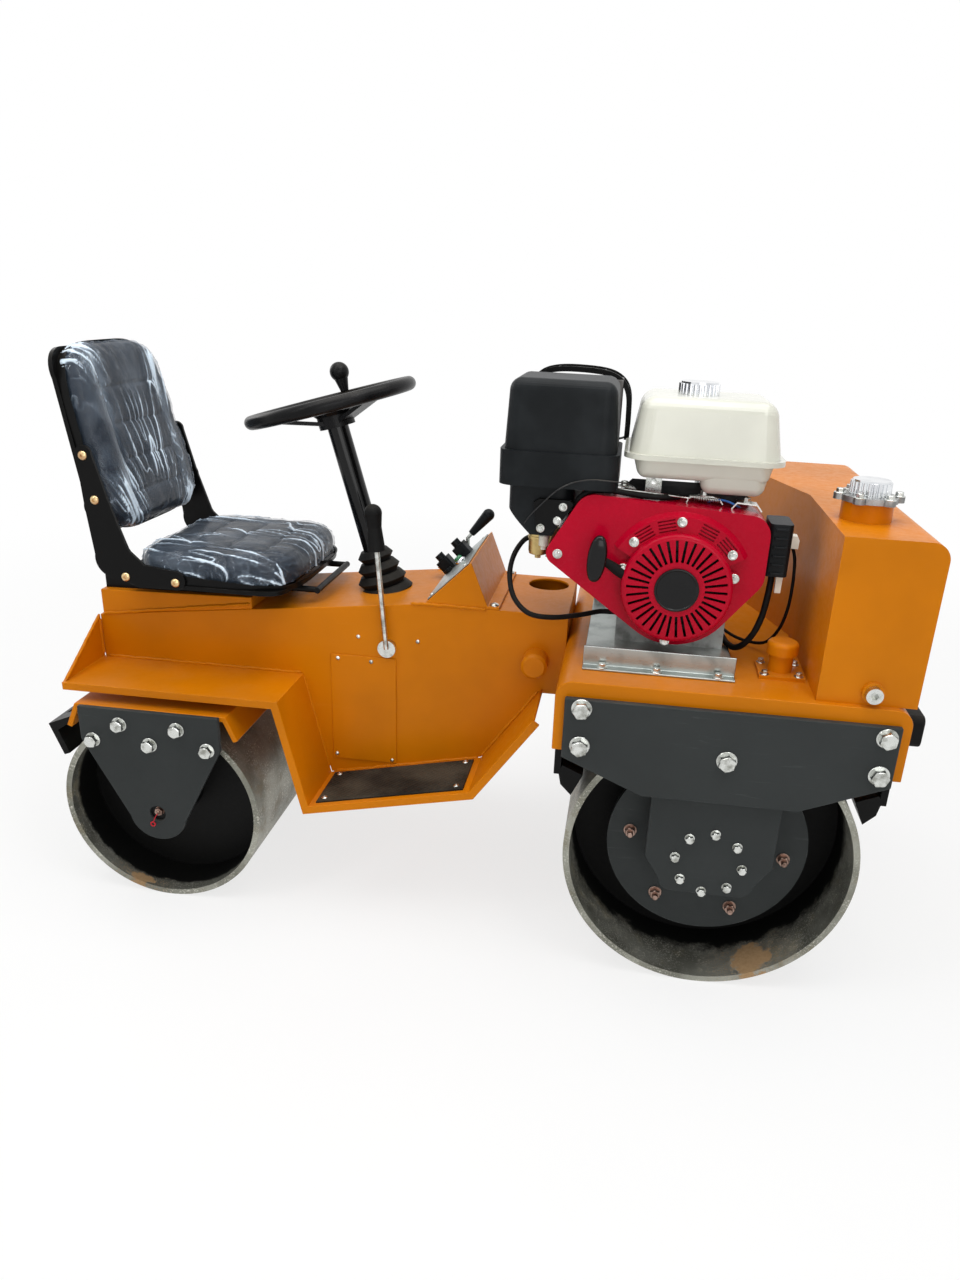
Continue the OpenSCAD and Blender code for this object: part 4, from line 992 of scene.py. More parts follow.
class Palette:
    """Every finish of the machine, built once."""

    def __init__(self) -> None:
        """Builds the shared effects and the materials."""
        fx = Effects()

        def paint(*values: Any) -> bpy.types.Material:
            """A painted finish of these values."""
            return Paint(*values).build(fx)

        def moulding(*values: Any) -> bpy.types.Material:
            """A rubber or plastic finish of these values."""
            return Moulding(*values).build(fx)

        def metal(*values: Any) -> bpy.types.Material:
            """A metal finish of these values."""
            return Metal(*values).build(fx)

        self.orange = paint("orange_enamel", srgb(205, 119, 2))
        self.charcoal = paint(
            "charcoal_enamel", srgb(54, 57, 57), 0.5, 0.0, 0.00015, srgb(112, 114, 114), 0.35, 0.1, 0.2
        )
        self.black = paint(
            "black_enamel", srgb(13, 13, 13), 0.36, 0.03, 0.0001, srgb(70, 70, 68), 0.25, 0.03, 0.08
        )
        self.gloss_black = paint(
            "gloss_black_enamel", srgb(11, 11, 12), 0.18, 0.3, 0.00008, srgb(70, 70, 70), 0.2, 0.03, 0.05
        )
        self.red = paint(
            "red_enamel", srgb(182, 2, 38), 0.26, 0.08, 0.0001, srgb(196, 30, 60), 0.2, 0.0, 0.04, 0.08
        )
        self.white = paint(
            "white_enamel", srgb(215, 215, 202), 0.22, 0.4, 0.00008, srgb(200, 200, 192), 0.15, 0.0, 0.04,
            0.3,
        )
        self.rubber = moulding("soft_rubber", srgb(14, 14, 14), 0.6, 700.0, 0.00012, 0.06)
        self.plastic = moulding("grained_plastic", srgb(17, 20, 22), 0.42, 1100.0, 0.00008, 0.0)
        self.wheel = moulding("wheel_plastic", srgb(15, 15, 16), 0.3, 1500.0, 0.00006, 0.05)
        self.mat = moulding("mat_rubber", srgb(27, 26, 23), 0.6, 600.0, 0.0001, 0.14)
        self.zinc = metal("zinc_plate", srgb(212, 214, 210), srgb(150, 151, 144), 0.28, 0.00003, 70.0)
        self.rusty = metal("browned_steel", srgb(168, 142, 130), srgb(104, 82, 72), 0.42, 0.0001, 60.0)
        self.yellow_zinc = metal("yellow_zinc_plate", srgb(226, 200, 150), srgb(190, 150, 110), 0.3)
        self.galvanised = metal(
            "galvanised_sheet", srgb(166, 171, 168), srgb(136, 142, 139), 0.36, 0.00002, 26.0
        )
        self.chrome = metal("bright_chrome", srgb(232, 234, 236), srgb(206, 208, 212), 0.12, 0.00001)
        self.aluminium = metal("cast_alloy", srgb(160, 161, 160), srgb(112, 112, 110), 0.42, 0.00012)
        self.iron = paint(
            "dark_casting", srgb(50, 51, 52), 0.5, 0.05, 0.0003, srgb(110, 108, 104), 0.4, 0.25, 0.2
        )
        self.brass = metal("passivated_casting", srgb(196, 172, 116), srgb(140, 118, 76), 0.38, 0.0001)
        self.muffler = metal("heat_tinted_sheet", srgb(92, 90, 88), srgb(58, 52, 50), 0.46, 0.00005, 18.0)
        self.vinyl = Vinyl("seat_black_vinyl", srgb(26, 27, 29)).build(fx)
        self.film = Film("wrapping_film", srgb(82, 101, 124), srgb(220, 236, 250)).build(fx)
        self.blue_wire = moulding("blue_wire_cover", srgb(60, 110, 180), 0.4, 900.0, 0.00003, 0.0)
        self.pale_plastic = moulding("pale_connector", srgb(206, 204, 192), 0.4, 900.0, 0.00004, 0.0)
        self.green_lens = Lens("green_lens", srgb(24, 140, 84)).build(fx)
        self.red_cap = moulding("red_cap", srgb(168, 26, 38), 0.4, 900.0, 0.00005, 0.0)
        front = DrumFinish("front_drum_steel", tuple(FRONT_AXLE), 0.25, 0.35, 0.095, 0.45)
        rear = DrumFinish("rear_drum_steel", tuple(REAR_AXLE), 0.1925, 0.275, 0.03, -0.35)
        self.front_drum, self.rear_drum = (drum.build(fx) for drum in (front, rear))


# Photograph's camera, light and floor


@dataclass
class Studio:
    """The floor, the soft lights and the camera at the photograph's angle.

    Attributes:
        eye: The camera's place.
        azimuth: Its turn to the left of straight ahead, in degrees.
        pitch: How far it looks down, in degrees.
        roll: Its roll, in degrees.
        lens: Focal length in millimetres on a 36 mm frame's long side.
        shift: The frame's shift, in shares of the long side.
    """

    eye: Point = (0.2687, -1.7593, 1.1372)
    azimuth: float = 6.14
    pitch: float = 22.18
    roll: float = -2.8
    lens: float = 26.516
    shift: tuple[float, float] = (-38.1 / 1280, 37.9 / 1280)

    def camera(self) -> None:
        """Makes the camera from its look, right and down directions, rolled about the look."""
        a, p, r = (math.radians(v) for v in (self.azimuth, self.pitch, self.roll))
        look = np.array([-math.sin(a) * math.cos(p), math.cos(a) * math.cos(p), -math.sin(p)])
        right = np.array([math.cos(a), math.sin(a), 0.0])
        down = np.cross(look, right)
        right, down = (
            math.cos(r) * right + math.sin(r) * down,
            math.cos(r) * down - math.sin(r) * right,
        )
        data = bpy.data.cameras.new("camera")
        data.lens = self.lens
        data.sensor_width = SENSOR_MM
        data.sensor_fit = "AUTO"
        data.shift_x, data.shift_y = self.shift
        made = linked("camera", data)
        turn = np.eye(4)
        turn[:3, 0], turn[:3, 1], turn[:3, 2], turn[:3, 3] = right, -down, -look, self.eye
        made.matrix_world = Matrix(turn.tolist())
        bpy.context.scene.camera = made

    def softbox(self, name: str, place: Point, aim: Point, size: tuple[float, float], power: float) -> None:
        """Hangs one rectangular area light that looks at a point.

        Args:
            name: The light's name.
            place: Where it hangs.
            aim: What it looks at.
            size: Its width and height.
            power: Its power in watts.
        """
        data = bpy.data.lights.new(name, "AREA")
        data.shape = "RECTANGLE"
        data.size, data.size_y = size
        data.energy = power
        made = linked(name, data)
        made.location = place
        made.rotation_mode = "QUATERNION"
        made.rotation_quaternion = (Vector(aim) - Vector(place)).to_track_quat("-Z", "Y")

    def world(self) -> None:
        """A soft grey sky for the light, and white for what the camera and mirrors see."""
        made = bpy.data.worlds.new("studio")
        made.use_nodes = True
        bpy.context.scene.world = made
        graph = Graph(made.node_tree)
        back = made.node_tree.nodes["Background"]
        rays = graph.node("ShaderNodeLightPath").outputs
        seen = graph.most(rays["Is Camera Ray"], rays["Is Transmission Ray"])
        seen = graph.most(seen, rays["Is Glossy Ray"])
        graph.feed(back.inputs["Strength"], graph.blend(seen, 0.42, 1.0))
        back.inputs["Color"].default_value = WHITE

    def floor(self) -> None:
        """A wide pale floor that keeps the machine's shadow, and is all its own light far away."""
        made, graph = surface_graph("pale_floor")
        place = graph.place()
        tone = graph.tint(graph.noise(place, 2.5, 3.0, 0.5), srgb(240, 240, 239), srgb(247, 247, 246))
        graph.set("Base Color", tone)
        graph.set("Roughness", 0.85)
        graph.set("Specular IOR Level", 0.1)
        rays = graph.node("ShaderNodeLightPath").outputs
        seen = graph.most(rays["Is Camera Ray"], rays["Is Glossy Ray"])
        painted_sheen = graph.node("ShaderNodeEmission")
        painted_sheen.inputs["Color"].default_value = WHITE
        cover = graph.node("ShaderNodeMixShader")
        away = graph.node("ShaderNodeVectorMath", operation="LENGTH")
        graph.feed(away.inputs[0], place)
        share = graph.ramp(away.outputs["Value"], 0.9, 3.6, 0.74, 1.0)
        graph.feed(cover.inputs[0], graph.times(seen, share))
        graph.feed(cover.inputs[1], graph.shader.outputs[0])
        graph.feed(cover.inputs[2], painted_sheen.outputs[0])
        graph.feed(made.node_tree.nodes["Material Output"].inputs[0], cover.outputs[0])
        side = np.linspace(-9.0, 9.0, 13)
        x, y = np.meshgrid(side, side, indexing="ij")
        points = np.stack([x, y, np.zeros_like(x)], -1).reshape(-1, 3)
        mesh = bpy.data.meshes.new("floor")
        mesh.from_pydata(points.tolist(), [], grid_quads(13, 13, False)[:, ::-1].tolist())
        mesh.materials.append(made)
        slab = linked("floor", mesh)

    def build(self) -> None:
        """Builds all of the studio."""
        bpy.context.scene.view_settings.view_transform = "Standard"
        self.camera()
        self.world()
        self.floor()
        self.softbox("ceiling", (0.0, -0.3, 3.4), (0.0, 0.0, 0.4), (3.4, 2.6), 72.0)
        self.softbox("near_fill", (1.2, -3.6, 1.5), (0.1, 0.0, 0.5), (2.4, 1.8), 28.0)
        self.softbox("rear_fill", (-3.2, 1.8, 2.0), (-0.2, 0.0, 0.6), (1.6, 1.6), 16.0)
        self.softbox("tube_one", (-1.5, -1.5, 2.6), (-0.5, 0.0, 0.7), (0.12, 1.8), 9.0)
        self.softbox("tube_two", (0.9, -1.2, 2.8), (0.3, 0.0, 0.6), (0.12, 2.0), 9.0)


# CAD solids that stay, with their finishes and softened edges


class Edge(Enum):
    """How far a CAD node's edges are rounded over, in metres."""

    SHEET = 0.0012
    PLATE = 0.0018
    BLOCK = 0.003


@dataclass
class Shell:
    """The CAD solids that show as they are.

    Attributes:
        palette: The finishes.
        softened: The nodes whose edges are rounded over, by how far.
    """

    palette: Palette
    softened: dict[Edge, tuple[str, ...]] = field(
        default_factory=lambda: {
            Edge.SHEET: (
                "footwell_right", "footwell_left", "access_panels", "engine_tray", "dash_panel", "console",
            ),
            Edge.PLATE: (
                "front_frame", "side_plate_right", "side_plate_left", "yoke", "yoke_plate_right",
                "yoke_plate_left", "beam", "seat_base", "rear_scraper", "front_scrapers", "tank",
            ),
            Edge.BLOCK: ("bumpers", "switch_box"),
        }
    )

    def finishes(self) -> dict[bpy.types.Material, tuple[str, ...]]:
        """The nodes that each finish covers."""
        p = self.palette
        return {
            p.orange: (
                "front_frame", "tank", "breather", "beam", "footwell_right", "footwell_left",
                "access_panels", "tie_bosses", "seat_base", "console", "yoke",
            ),
            p.charcoal: (
                "side_plate_right", "side_plate_left", "yoke_plate_right", "yoke_plate_left",
                "buffer_disc_right", "buffer_disc_left",
            ),
            p.black: (
                "axle_housing_right", "axle_housing_left", "front_scrapers", "rear_scraper", "seat_frame",
                "seat_rails", "rear_axle",
            ),
            p.gloss_black: ("column",),
            p.red: ("fan_shroud", "recoil_cover"),
            p.white: ("fuel_tank",),
            p.rubber: ("bumpers", "column_boot", "travel_grip"),
            p.plastic: ("air_cleaner", "switch_box", "dash_switches", "throttle_grip"),
            p.wheel: ("steering_wheel", "wheel_knob"),
            p.zinc: ("travel_lever", "throttle_lever", "drain_plug"),
            p.galvanised: ("engine_tray", "dash_panel"),
            p.chrome: ("tank_cap", "fuel_cap"),
            p.aluminium: ("engine_block", "tank_filler"),
            p.iron: ("pump",),
            p.muffler: ("muffler",),
            p.front_drum: ("front_drum",),
            p.rear_drum: ("rear_drum",),
        }

    def build(self) -> None:
        """Gives every CAD node its finish, and rounds the edges of the sheet and plate parts."""
        for finish, names in self.finishes().items():
            for name in names:
                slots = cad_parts[name].data.materials
                slots.clear()
                slots.append(finish)
        for edge, names in self.softened.items():
            for name in names:
                self.soften(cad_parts[name], edge.value)

    def soften(self, node: bpy.types.Object, width: float) -> None:
        """Rounds a node's edges over: its loose triangles are welded, flat faces joined and edges bevelled.

        Args:
            node: The CAD node's object.
            width: How far each edge is rounded over.
        """
        weld = node.modifiers.new("weld", "WELD")
        weld.merge_threshold = WELD_REACH
        flat = node.modifiers.new("flat", "DECIMATE")
        flat.decimate_type = "DISSOLVE"
        flat.angle_limit = FLAT_ANGLE
        bevel = node.modifiers.new("bevel", "BEVEL")
        bevel.width = width
        bevel.segments = 2
        bevel.limit_method = "ANGLE"
        bevel.angle_limit = BEVEL_ANGLE
        bevel.use_clamp_overlap = True
        even = node.modifiers.new("even", "WEIGHTED_NORMAL")
        even.keep_sharp = False
        log.info("softened %s by %.1f mm", node.name, width * 1000)


# Fasteners


@dataclass(frozen=True)
class BoltKind:
    """A hexagon bolt on a flat washer.

    Attributes:
        across: Distance across its flats.
        height: Height of its head.
        washer: Radius of its washer.
        depth: Thickness of its washer.
        stud: Radius of a stud that stands through it, or zero.
        past: How far the stud stands out.
    """

    across: float
    height: float
    washer: float
    depth: float = 0.002
    stud: float = 0.0
    past: float = 0.0

    def shape(self) -> Surface:
        """The bolt on z = 0, its head up."""
        rim = self.depth * 0.3
        hole, edge = self.washer * 0.5, self.washer - rim
        foot = [(hole, -0.001), (edge, -0.001), (self.washer, rim)]
        lip = [(self.washer, self.depth - rim), (edge, self.depth), (hole, self.depth)]
        ring = turned(foot + lip, 28)
        hollow = 0.0 if self.stud else self.height * 0.06
        head = hexagon(self.across, self.height, hollow).placed(Z_AXIS * self.depth)
        parts = [ring, head]
        if self.stud:
            top = self.depth + self.height + self.past
            pitch = np.linspace(self.depth, top - 0.001, 12)
            swing = self.stud * (1 - 0.07 * (np.arange(12) % 2))
            parts.append(turned([*zip(swing, pitch), (self.stud * 0.7, top), (self.stud * 0.3, top)], 16))
        return joined(parts)


@dataclass(frozen=True)
class ScrewKind:
    """A round-headed screw with a cross recess.

    Attributes:
        radius: Radius of its head.
        height: Height of its head.
    """

    radius: float
    height: float

    def shape(self) -> Surface:
        """The head on z = 0: a dome of z = height cos(b), r = radius sin(b), with a dimple in its crown."""
        b = np.linspace(math.pi / 2, 0.12, 7)
        dome = list(zip(self.radius * np.sin(b), self.height * np.cos(b)))
        dimple = [(self.radius * 0.3, self.height * 0.97), (self.radius * 0.18, self.height * 0.55)]
        return turned([(self.radius * 0.9, -0.0005), *dome[:5], *dimple], 20)


def around(centre: Array, radius: float, turns: Array) -> Array:
    """Spots (x, z) on a circle about a crosswise axis, at given angles."""
    return np.stack([centre[0] + radius * np.cos(turns), centre[2] + radius * np.sin(turns)], -1)


@dataclass
class Fasteners:
    """All the bolts and screws that show.

    Attributes:
        palette: The finishes.
        large: The side plates' bolts.
        ring: The bolts of the drum brackets.
        nut: The nuts on the buffer discs.
        yoke: The yoke plates' bolts.
        seat: The seat arms' screws.
        small: The screws of panels and mats.
        foot: The bolts of the engine tray and the filler.
        ear: The bolts of the recoil cover, shroud and breather.
    """

    palette: Palette
    large: BoltKind = BoltKind(0.025, 0.0135, 0.0168, 0.003)
    ring: BoltKind = BoltKind(0.013, 0.008, 0.0086, 0.0016)
    nut: BoltKind = BoltKind(0.017, 0.010, 0.0120, 0.002, 0.0055, 0.009)
    yoke: BoltKind = BoltKind(0.021, 0.0118, 0.0142, 0.0026)
    foot: BoltKind = BoltKind(0.011, 0.006, 0.0095, 0.0016)
    ear: BoltKind = BoltKind(0.010, 0.006, 0.008, 0.0014)
    seat: ScrewKind = ScrewKind(0.0085, 0.0046)
    small: ScrewKind = ScrewKind(0.0042, 0.0024)

    def group(
        self,
        name: str,
        kind: BoltKind | ScrewKind,
        spots: Iterable[Sequence[float]],
        direction: Array,
        finish: bpy.types.Material | None = None,
        body: Body = Body.CHASSIS,
        slot: Slot = Slot.ZINC,
    ) -> None:
        """Sets one kind of fastener at several spots, each turned by its own chance angle.

        Args:
            name: The piece's name.
            kind: The fastener.
            spots: Where each one sits.
            direction: Where the heads point.
            finish: Their material, or zinc plate.
            body: The body that they ride on.
            slot: A slot name for their finish; not used.
        """
        chance = np.random.default_rng(SEED + len(name))
        shape = kind.shape()
        made = [shape.placed(spot, axes_along(direction, chance.uniform(0, math.tau))) for spot in spots]
        piece(name, joined(made), finish or self.palette.zinc, BOLT_SHARP, body)

    def sides(self, side: Side) -> None:
        """Sets the fasteners of one side, by spots (x, z) and the distance of their face from the middle.

        Args:
            side: The machine's side.
        """
        p = self.palette
        plates = [(0.2245, 0.526), (0.2255, 0.460), (0.4625, 0.458), (0.7005, 0.523), (0.6995, 0.458)]
        bracket = around(FRONT_AXLE, 0.0575, np.arange(8) * math.tau / 8 - 0.1)
        disc = around(FRONT_AXLE, 0.136, np.arange(6) * math.tau / 6 - 0.1)
        bows = [(-0.110, 0.338), (-0.055, 0.374), (0.0, 0.338), (0.055, 0.374), (0.110, 0.338)]
        yoke = [(REAR_AXLE[0] + x, z) for x, z in bows]
        arms = [(-0.6910, 0.838), (-0.6785, 0.760), (-0.6360, 0.621), (-0.5410, 0.617)]
        panels = [(-0.255, 0.476), (-0.190, 0.474), (-0.262, 0.272), (-0.150, 0.268)]
        rows: tuple[tuple[Any, ...], ...] = (
            ("side_bolts", self.large, plates, 0.374),
            ("bracket_bolts", self.ring, bracket, 0.350),
            ("disc_nuts", self.nut, disc, 0.290, p.rusty, Body.FRONT_DRUM, Slot.MUFFLER),
            ("yoke_bolts", self.yoke, yoke, 0.293, p.zinc, Body.YOKE),
            ("seat_screws", self.seat, arms, 0.182, p.yellow_zinc),
            ("panel_screws", self.small, panels, 0.128),
            ("beam_screws", self.small, [(-0.215, 0.522), (-0.100, 0.522)], 0.125),
        )
        for name, kind, flat, face, *rest in rows:
            spots = [(x, side.value * face, z) for x, z in flat]
            self.group(f"{name}_{side.name.lower()}", kind, spots, Y_AXIS * side.value, *rest)

    def build(self) -> None:
        """Sets every fastener, first those that both sides have."""
        for side in Side:
            self.sides(side)
        feet = [(x, y, 0.570) for y in (-0.297, 0.083) for x in (0.250, 0.340, 0.440)]
        self.group("tray_bolts", self.foot, feet, Z_AXIS)
        ears = [(x, -0.267, z) for x, z in around(CRANK, 0.0925, np.radians([14, 164, 264]))]
        self.group("cover_bolts", self.ear, ears, -Y_AXIS)
        hump = [(x, -0.265, z) for x, z in around(CRANK, 0.102, np.radians([36, 137]))]
        self.group("hump_bolts", self.ear, hump, -Y_AXIS)
        low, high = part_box("tank_filler")
        turn = np.arange(6) * math.tau / 6
        ring = np.stack([np.cos(turn), np.sin(turn), np.zeros(6)], -1) * 0.0455
        hub = np.array([(low.x + high.x) / 2, (low.y + high.y) / 2, high.z])
        self.group("filler_bolts", self.foot, hub + ring, Z_AXIS)
        low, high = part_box("breather")
        inset = 0.009
        corners = [(x, y) for x in (low.x + inset, high.x - inset) for y in (low.y + inset, high.y - inset)]
        self.group("breather_bolts", self.ear, [(x, y, low.z + 0.006) for x, y in corners], Z_AXIS)
        self.group("console_screws", self.seat, [(0.041, y, 0.602) for y in (-0.112, 0.112)], Z_AXIS)
        start = DASH_FOOT + DASH_OUT * DASH_SHEET
        dash = [start + DASH_RUN * along + Y_AXIS * y for along in (0.018, 0.104) for y in (-0.107, 0.107)]
        self.group("dash_screws", self.small, dash, DASH_OUT)
        shroud = [ENGINE + [-0.197, 0.026, 0.171], ENGINE + [-0.002, 0.015, 0.240]]
        self.group("shroud_bolts", self.ear, shroud, -Y_AXIS)


# Weld beads


@dataclass
class Welds:
    """Painted weld beads where the sheets meet.

    Attributes:
        palette: The finishes.
        radius: Half of a bead's width.
        step: Length of one stretch of its line.
        wander: How far the line wanders.
        ripple: Distance from one ripple to the next.
    """

    palette: Palette
    radius: float = 0.0032
    step: float = 0.0011
    wander: float = 0.00035
    ripple: float = 0.0042

    def bead(self, start: Sequence[float], end: Sequence[float], chance: np.random.Generator) -> Surface:
        """A bead: a bar whose radius swells as |sin| of the run over the ripple, on a wandering line.

        Args:
            start: Where the bead starts.
            end: Where it ends.
            chance: Source of its wander.

        Returns:
            The bead's surface.
        """
        a, b = np.asarray(start, float), np.asarray(end, float)
        length = float(np.linalg.norm(b - a))
        count = max(12, int(length / self.step))
        run = np.linspace(0, 1, count)
        phase = chance.uniform(0, math.tau, 3)
        waves = zip((60.0, 143.0, 310.0), phase)
        wander = sum(np.sin(run * length * k + f) for k, f in waves) * self.wander
        path = a + (b - a) * run[:, None] + wander[:, None] * Z_AXIS
        swell = 0.86 + 0.2 * np.abs(np.sin(math.pi * run * length / self.ripple + phase[0]))
        taper = np.clip(np.minimum(run, 1 - run) * length / 0.004, 0.35, 1.0)
        along = unit(b - a)
        up = Z_AXIS if abs(along[2]) < 0.8 else X_AXIS
        return bar(path, self.radius * swell * taper, 8, up)

    def build(self) -> None:
        """Lays the beads along the fenders, steps, gussets and the console, on both sides."""
        chance = np.random.default_rng(SEED)
        right = [
            ((-0.722, -0.126, 0.4385), (-0.330, -0.126, 0.4385)),
            ((-0.3255, -0.126, 0.433), (-0.279, -0.126, 0.240)),
            ((-0.270, -0.126, 0.2295), (0.022, -0.126, 0.2925)),
            ((0.0275, -0.126, 0.296), (0.131, -0.126, 0.443)),
            ((-0.7300, -0.130, 0.4400), (-0.7300, -0.130, 0.518)),
            ((-0.7300, -0.1295, 0.5225), (-0.7300, -0.2630, 0.4390)),
            ((-0.7230, -0.126, 0.5255), (-0.4240, -0.126, 0.5690)),
            ((-0.114, -0.1255, 0.5975), (0.030, -0.1255, 0.5975)),
        ]
        beads = [self.bead(a, b, chance) for a, b in right]
        piece("welds_right", joined(beads), self.palette.orange, 60.0)
        other = [bead.mirrored() for bead in beads]
        piece("welds_left", joined(other), self.palette.orange, 60.0)


# Seat


def wavering(points: Array, scale: Array, count: int, seed: int) -> Array:
    """A smooth random field, the sum of sines with chance directions and phases over sqrt(count).

    Args:
        points: Places, one row each.
        scale: Waves per metre along each axis.
        count: Number of sines.
        seed: Seed of the draw.

    Returns:
        One value for each place.
    """
    chance = np.random.default_rng(seed)
    waves = chance.normal(0, 1, (count, points.shape[1])) * scale * math.tau
    phase = chance.uniform(0, math.tau, count)
    return np.sin(points @ waves.T + phase).sum(1) / math.sqrt(count) * 0.8


def crease_lines(wave: Callable[[Array], Array], points: Array, width: Array) -> Array:
    """Lines of a chosen width along the zero lines of a field f, as exp(-(f / (width |grad f|))^2).

    Args:
        wave: Gives f at each place.
        points: The places, in metres.
        width: Half the line's width at each place.

    Returns:
        How far each place is on a line, from 0 to 1.
    """
    step = 0.0008
    value = wave(points)
    slope = np.hypot(wave(points + [step, 0.0]) - value, wave(points + [0.0, step]) - value) / step
    return np.exp(-((value / (width * slope + 1e-6)) ** 2))


@dataclass
class Pad:
    """A stuffed cushion under a clear film.

    Attributes:
        name: The cushion's name.
        node: The CAD node that it stands for.
        centre: Middle of its underside.
        axes: Its own axes as columns: two along the face, one out of it.
        half: Half its size along each of the first two axes.
        depth: Its thickness.
        seams: Sewn lines as (axis, place, reach of the other axis from its middle).
        creases: Waves per metre of the film's long creases along the two face axes.
        seed: Seed of its creases.
        narrow: How much each side draws in from the start of the second axis to its end.
        gather: How far the film's creases gather towards the start of the second axis, and how strong the
            painted sheen along the bolsters is.
    """

    name: str
    node: str
    centre: Array
    axes: Array
    half: tuple[float, float]
    depth: float
    seams: Sequence[tuple[int, float, float]]
    creases: tuple[float, float]
    seed: int
    narrow: float = 0.0
    gather: float = 0.0

    def side(self, second: Array) -> Array:
        """Half of the pad's width at places along the second axis."""
        share = np.clip(second / self.half[1] * 0.5 + 0.5, 0, 1)
        return self.half[0] - self.narrow * share

    def outline(self) -> Surface:
        """The unswollen pad: a superellipse of power 5 whose size and height follow a rounded profile."""
        angle = angles(120)
        b = (self.half[1] + 0.005) * squared(np.sin(angle), 0.4)
        a = (self.side(b) + 0.004) * squared(np.cos(angle), 0.4)
        size = np.array([0.5, 0.9, 0.99, 1.0, 1.0, 0.99, 0.965, 0.93, 0.88, 0.6, 0.25])
        share = np.array([0.0, 0.0, 0.02, 0.12, 0.5, 0.72, 0.88, 0.96, 1.0, 1.04, 1.06])
        rise = share * (self.depth - 0.010)
        ring = np.stack([a, b, np.zeros_like(a)], -1)
        return skin(size[:, None, None] * ring[None] + (rise[:, None, None] + 0.002) * Z_AXIS)

    def swollen(self) -> tuple[Array, list[list[int]]]:
        """Swells the pad by a cloth simulation under pressure, and gives its own points and faces."""
        start = self.outline()
        mesh = bpy.data.meshes.new("pad")
        mesh.from_pydata(start.points.tolist(), [], start.quads.tolist() + start.tris.tolist())
        made = linked("pad", mesh)
        remesh = made.modifiers.new("remesh", "REMESH")
        remesh.mode = "VOXEL"
        remesh.voxel_size = CLOTH_VOXEL
        fine = baked(made)
        made.modifiers.clear()
        made.data = fine
        before = self.coordinates(fine)
        after = before
        cloth = made.modifiers.new("cloth", "CLOTH")
        cloth.settings.use_pressure = True
        cloth.settings.uniform_pressure_force = CLOTH_PRESSURE
        cloth.settings.effector_weights.gravity = 0.0
        cloth.point_cache.frame_start = 1
        cloth.point_cache.frame_end = CLOTH_FRAMES
        scene = bpy.context.scene
        for number in range(1, CLOTH_FRAMES + 1):
            scene.frame_set(number)
        result = made.evaluated_get(bpy.context.evaluated_depsgraph_get()).data
        after = self.coordinates(result)
        scene.frame_set(1)
        move = after - before
        reach = np.linalg.norm(move, axis=1, keepdims=True)
        points = before + move * np.minimum(1.0, CLOTH_REACH / np.maximum(reach, 1e-9))
        faces = [list(polygon.vertices) for polygon in fine.polygons]
        bpy.data.objects.remove(made)
        return points, faces

    @staticmethod
    def coordinates(mesh: bpy.types.Mesh) -> Array:
        """A mesh's points as an array."""
        flat = np.zeros(len(mesh.vertices) * 3, np.float32)
        mesh.vertices.foreach_get("co", flat)
        return flat.reshape(-1, 3).astype(float)

    def sewn(self, points: Array) -> Array:
        """Presses the seams into the upper half: valleys of exp(-(d / w)^2), w being 4 mm and 14 mm."""
        upper = np.clip((points[:, 2] / self.depth - 0.45) / 0.3, 0, 1)
        valley = np.zeros(len(points))
        for axis, place, reach in self.seams:
            near = np.exp(-(((points[:, axis] - place) / STITCH_WIDTH) ** 2))
            wide = np.exp(-(((points[:, axis] - place) / DIP_WIDTH) ** 2))
            inside = np.clip((reach - np.abs(points[:, 1 - axis])) / 0.006, 0, 1)
            valley = np.maximum(valley, (STITCH_DEPTH * near + DIP_DEPTH * wide) * inside)
        kept = points.copy()
        kept[:, 2] -= valley * upper
        return kept

    def kept_inside(self, points: Array) -> Array:
        """Keeps the pad off its pan and between its arms."""
        wide = self.side(points[:, 1]) + 0.001
        kept = points.copy()
        kept[:, 0] = np.clip(points[:, 0], -wide, wide)
        kept[:, 1] = np.clip(points[:, 1], -self.half[1] - 0.002, self.half[1] + 0.002)
        kept[:, 2] = np.clip(points[:, 2], 0.0006, self.depth + 0.006)
        return kept

    def pulled(self, face: Array, share: float, turn: int) -> Array:
        """A wavering field stretched along the film's pull, and gathered towards the second axis's start.

        Args:
            face: Places on the unrolled film.
            share: How much finer than the long creases it is.
            turn: What is added to the film's seed.

        Returns:
            One value for each place.
        """
        spread = 1 - self.gather * (0.5 - 0.5 * np.clip(face[:, 1] / self.half[1], -1, 1))
        bend = np.stack([face[:, 0] / spread, face[:, 1] + 0.25 * face[:, 0] * face[:, 1]], -1)
        return wavering(bend, np.array(self.creases) * share, 9, self.seed + turn)

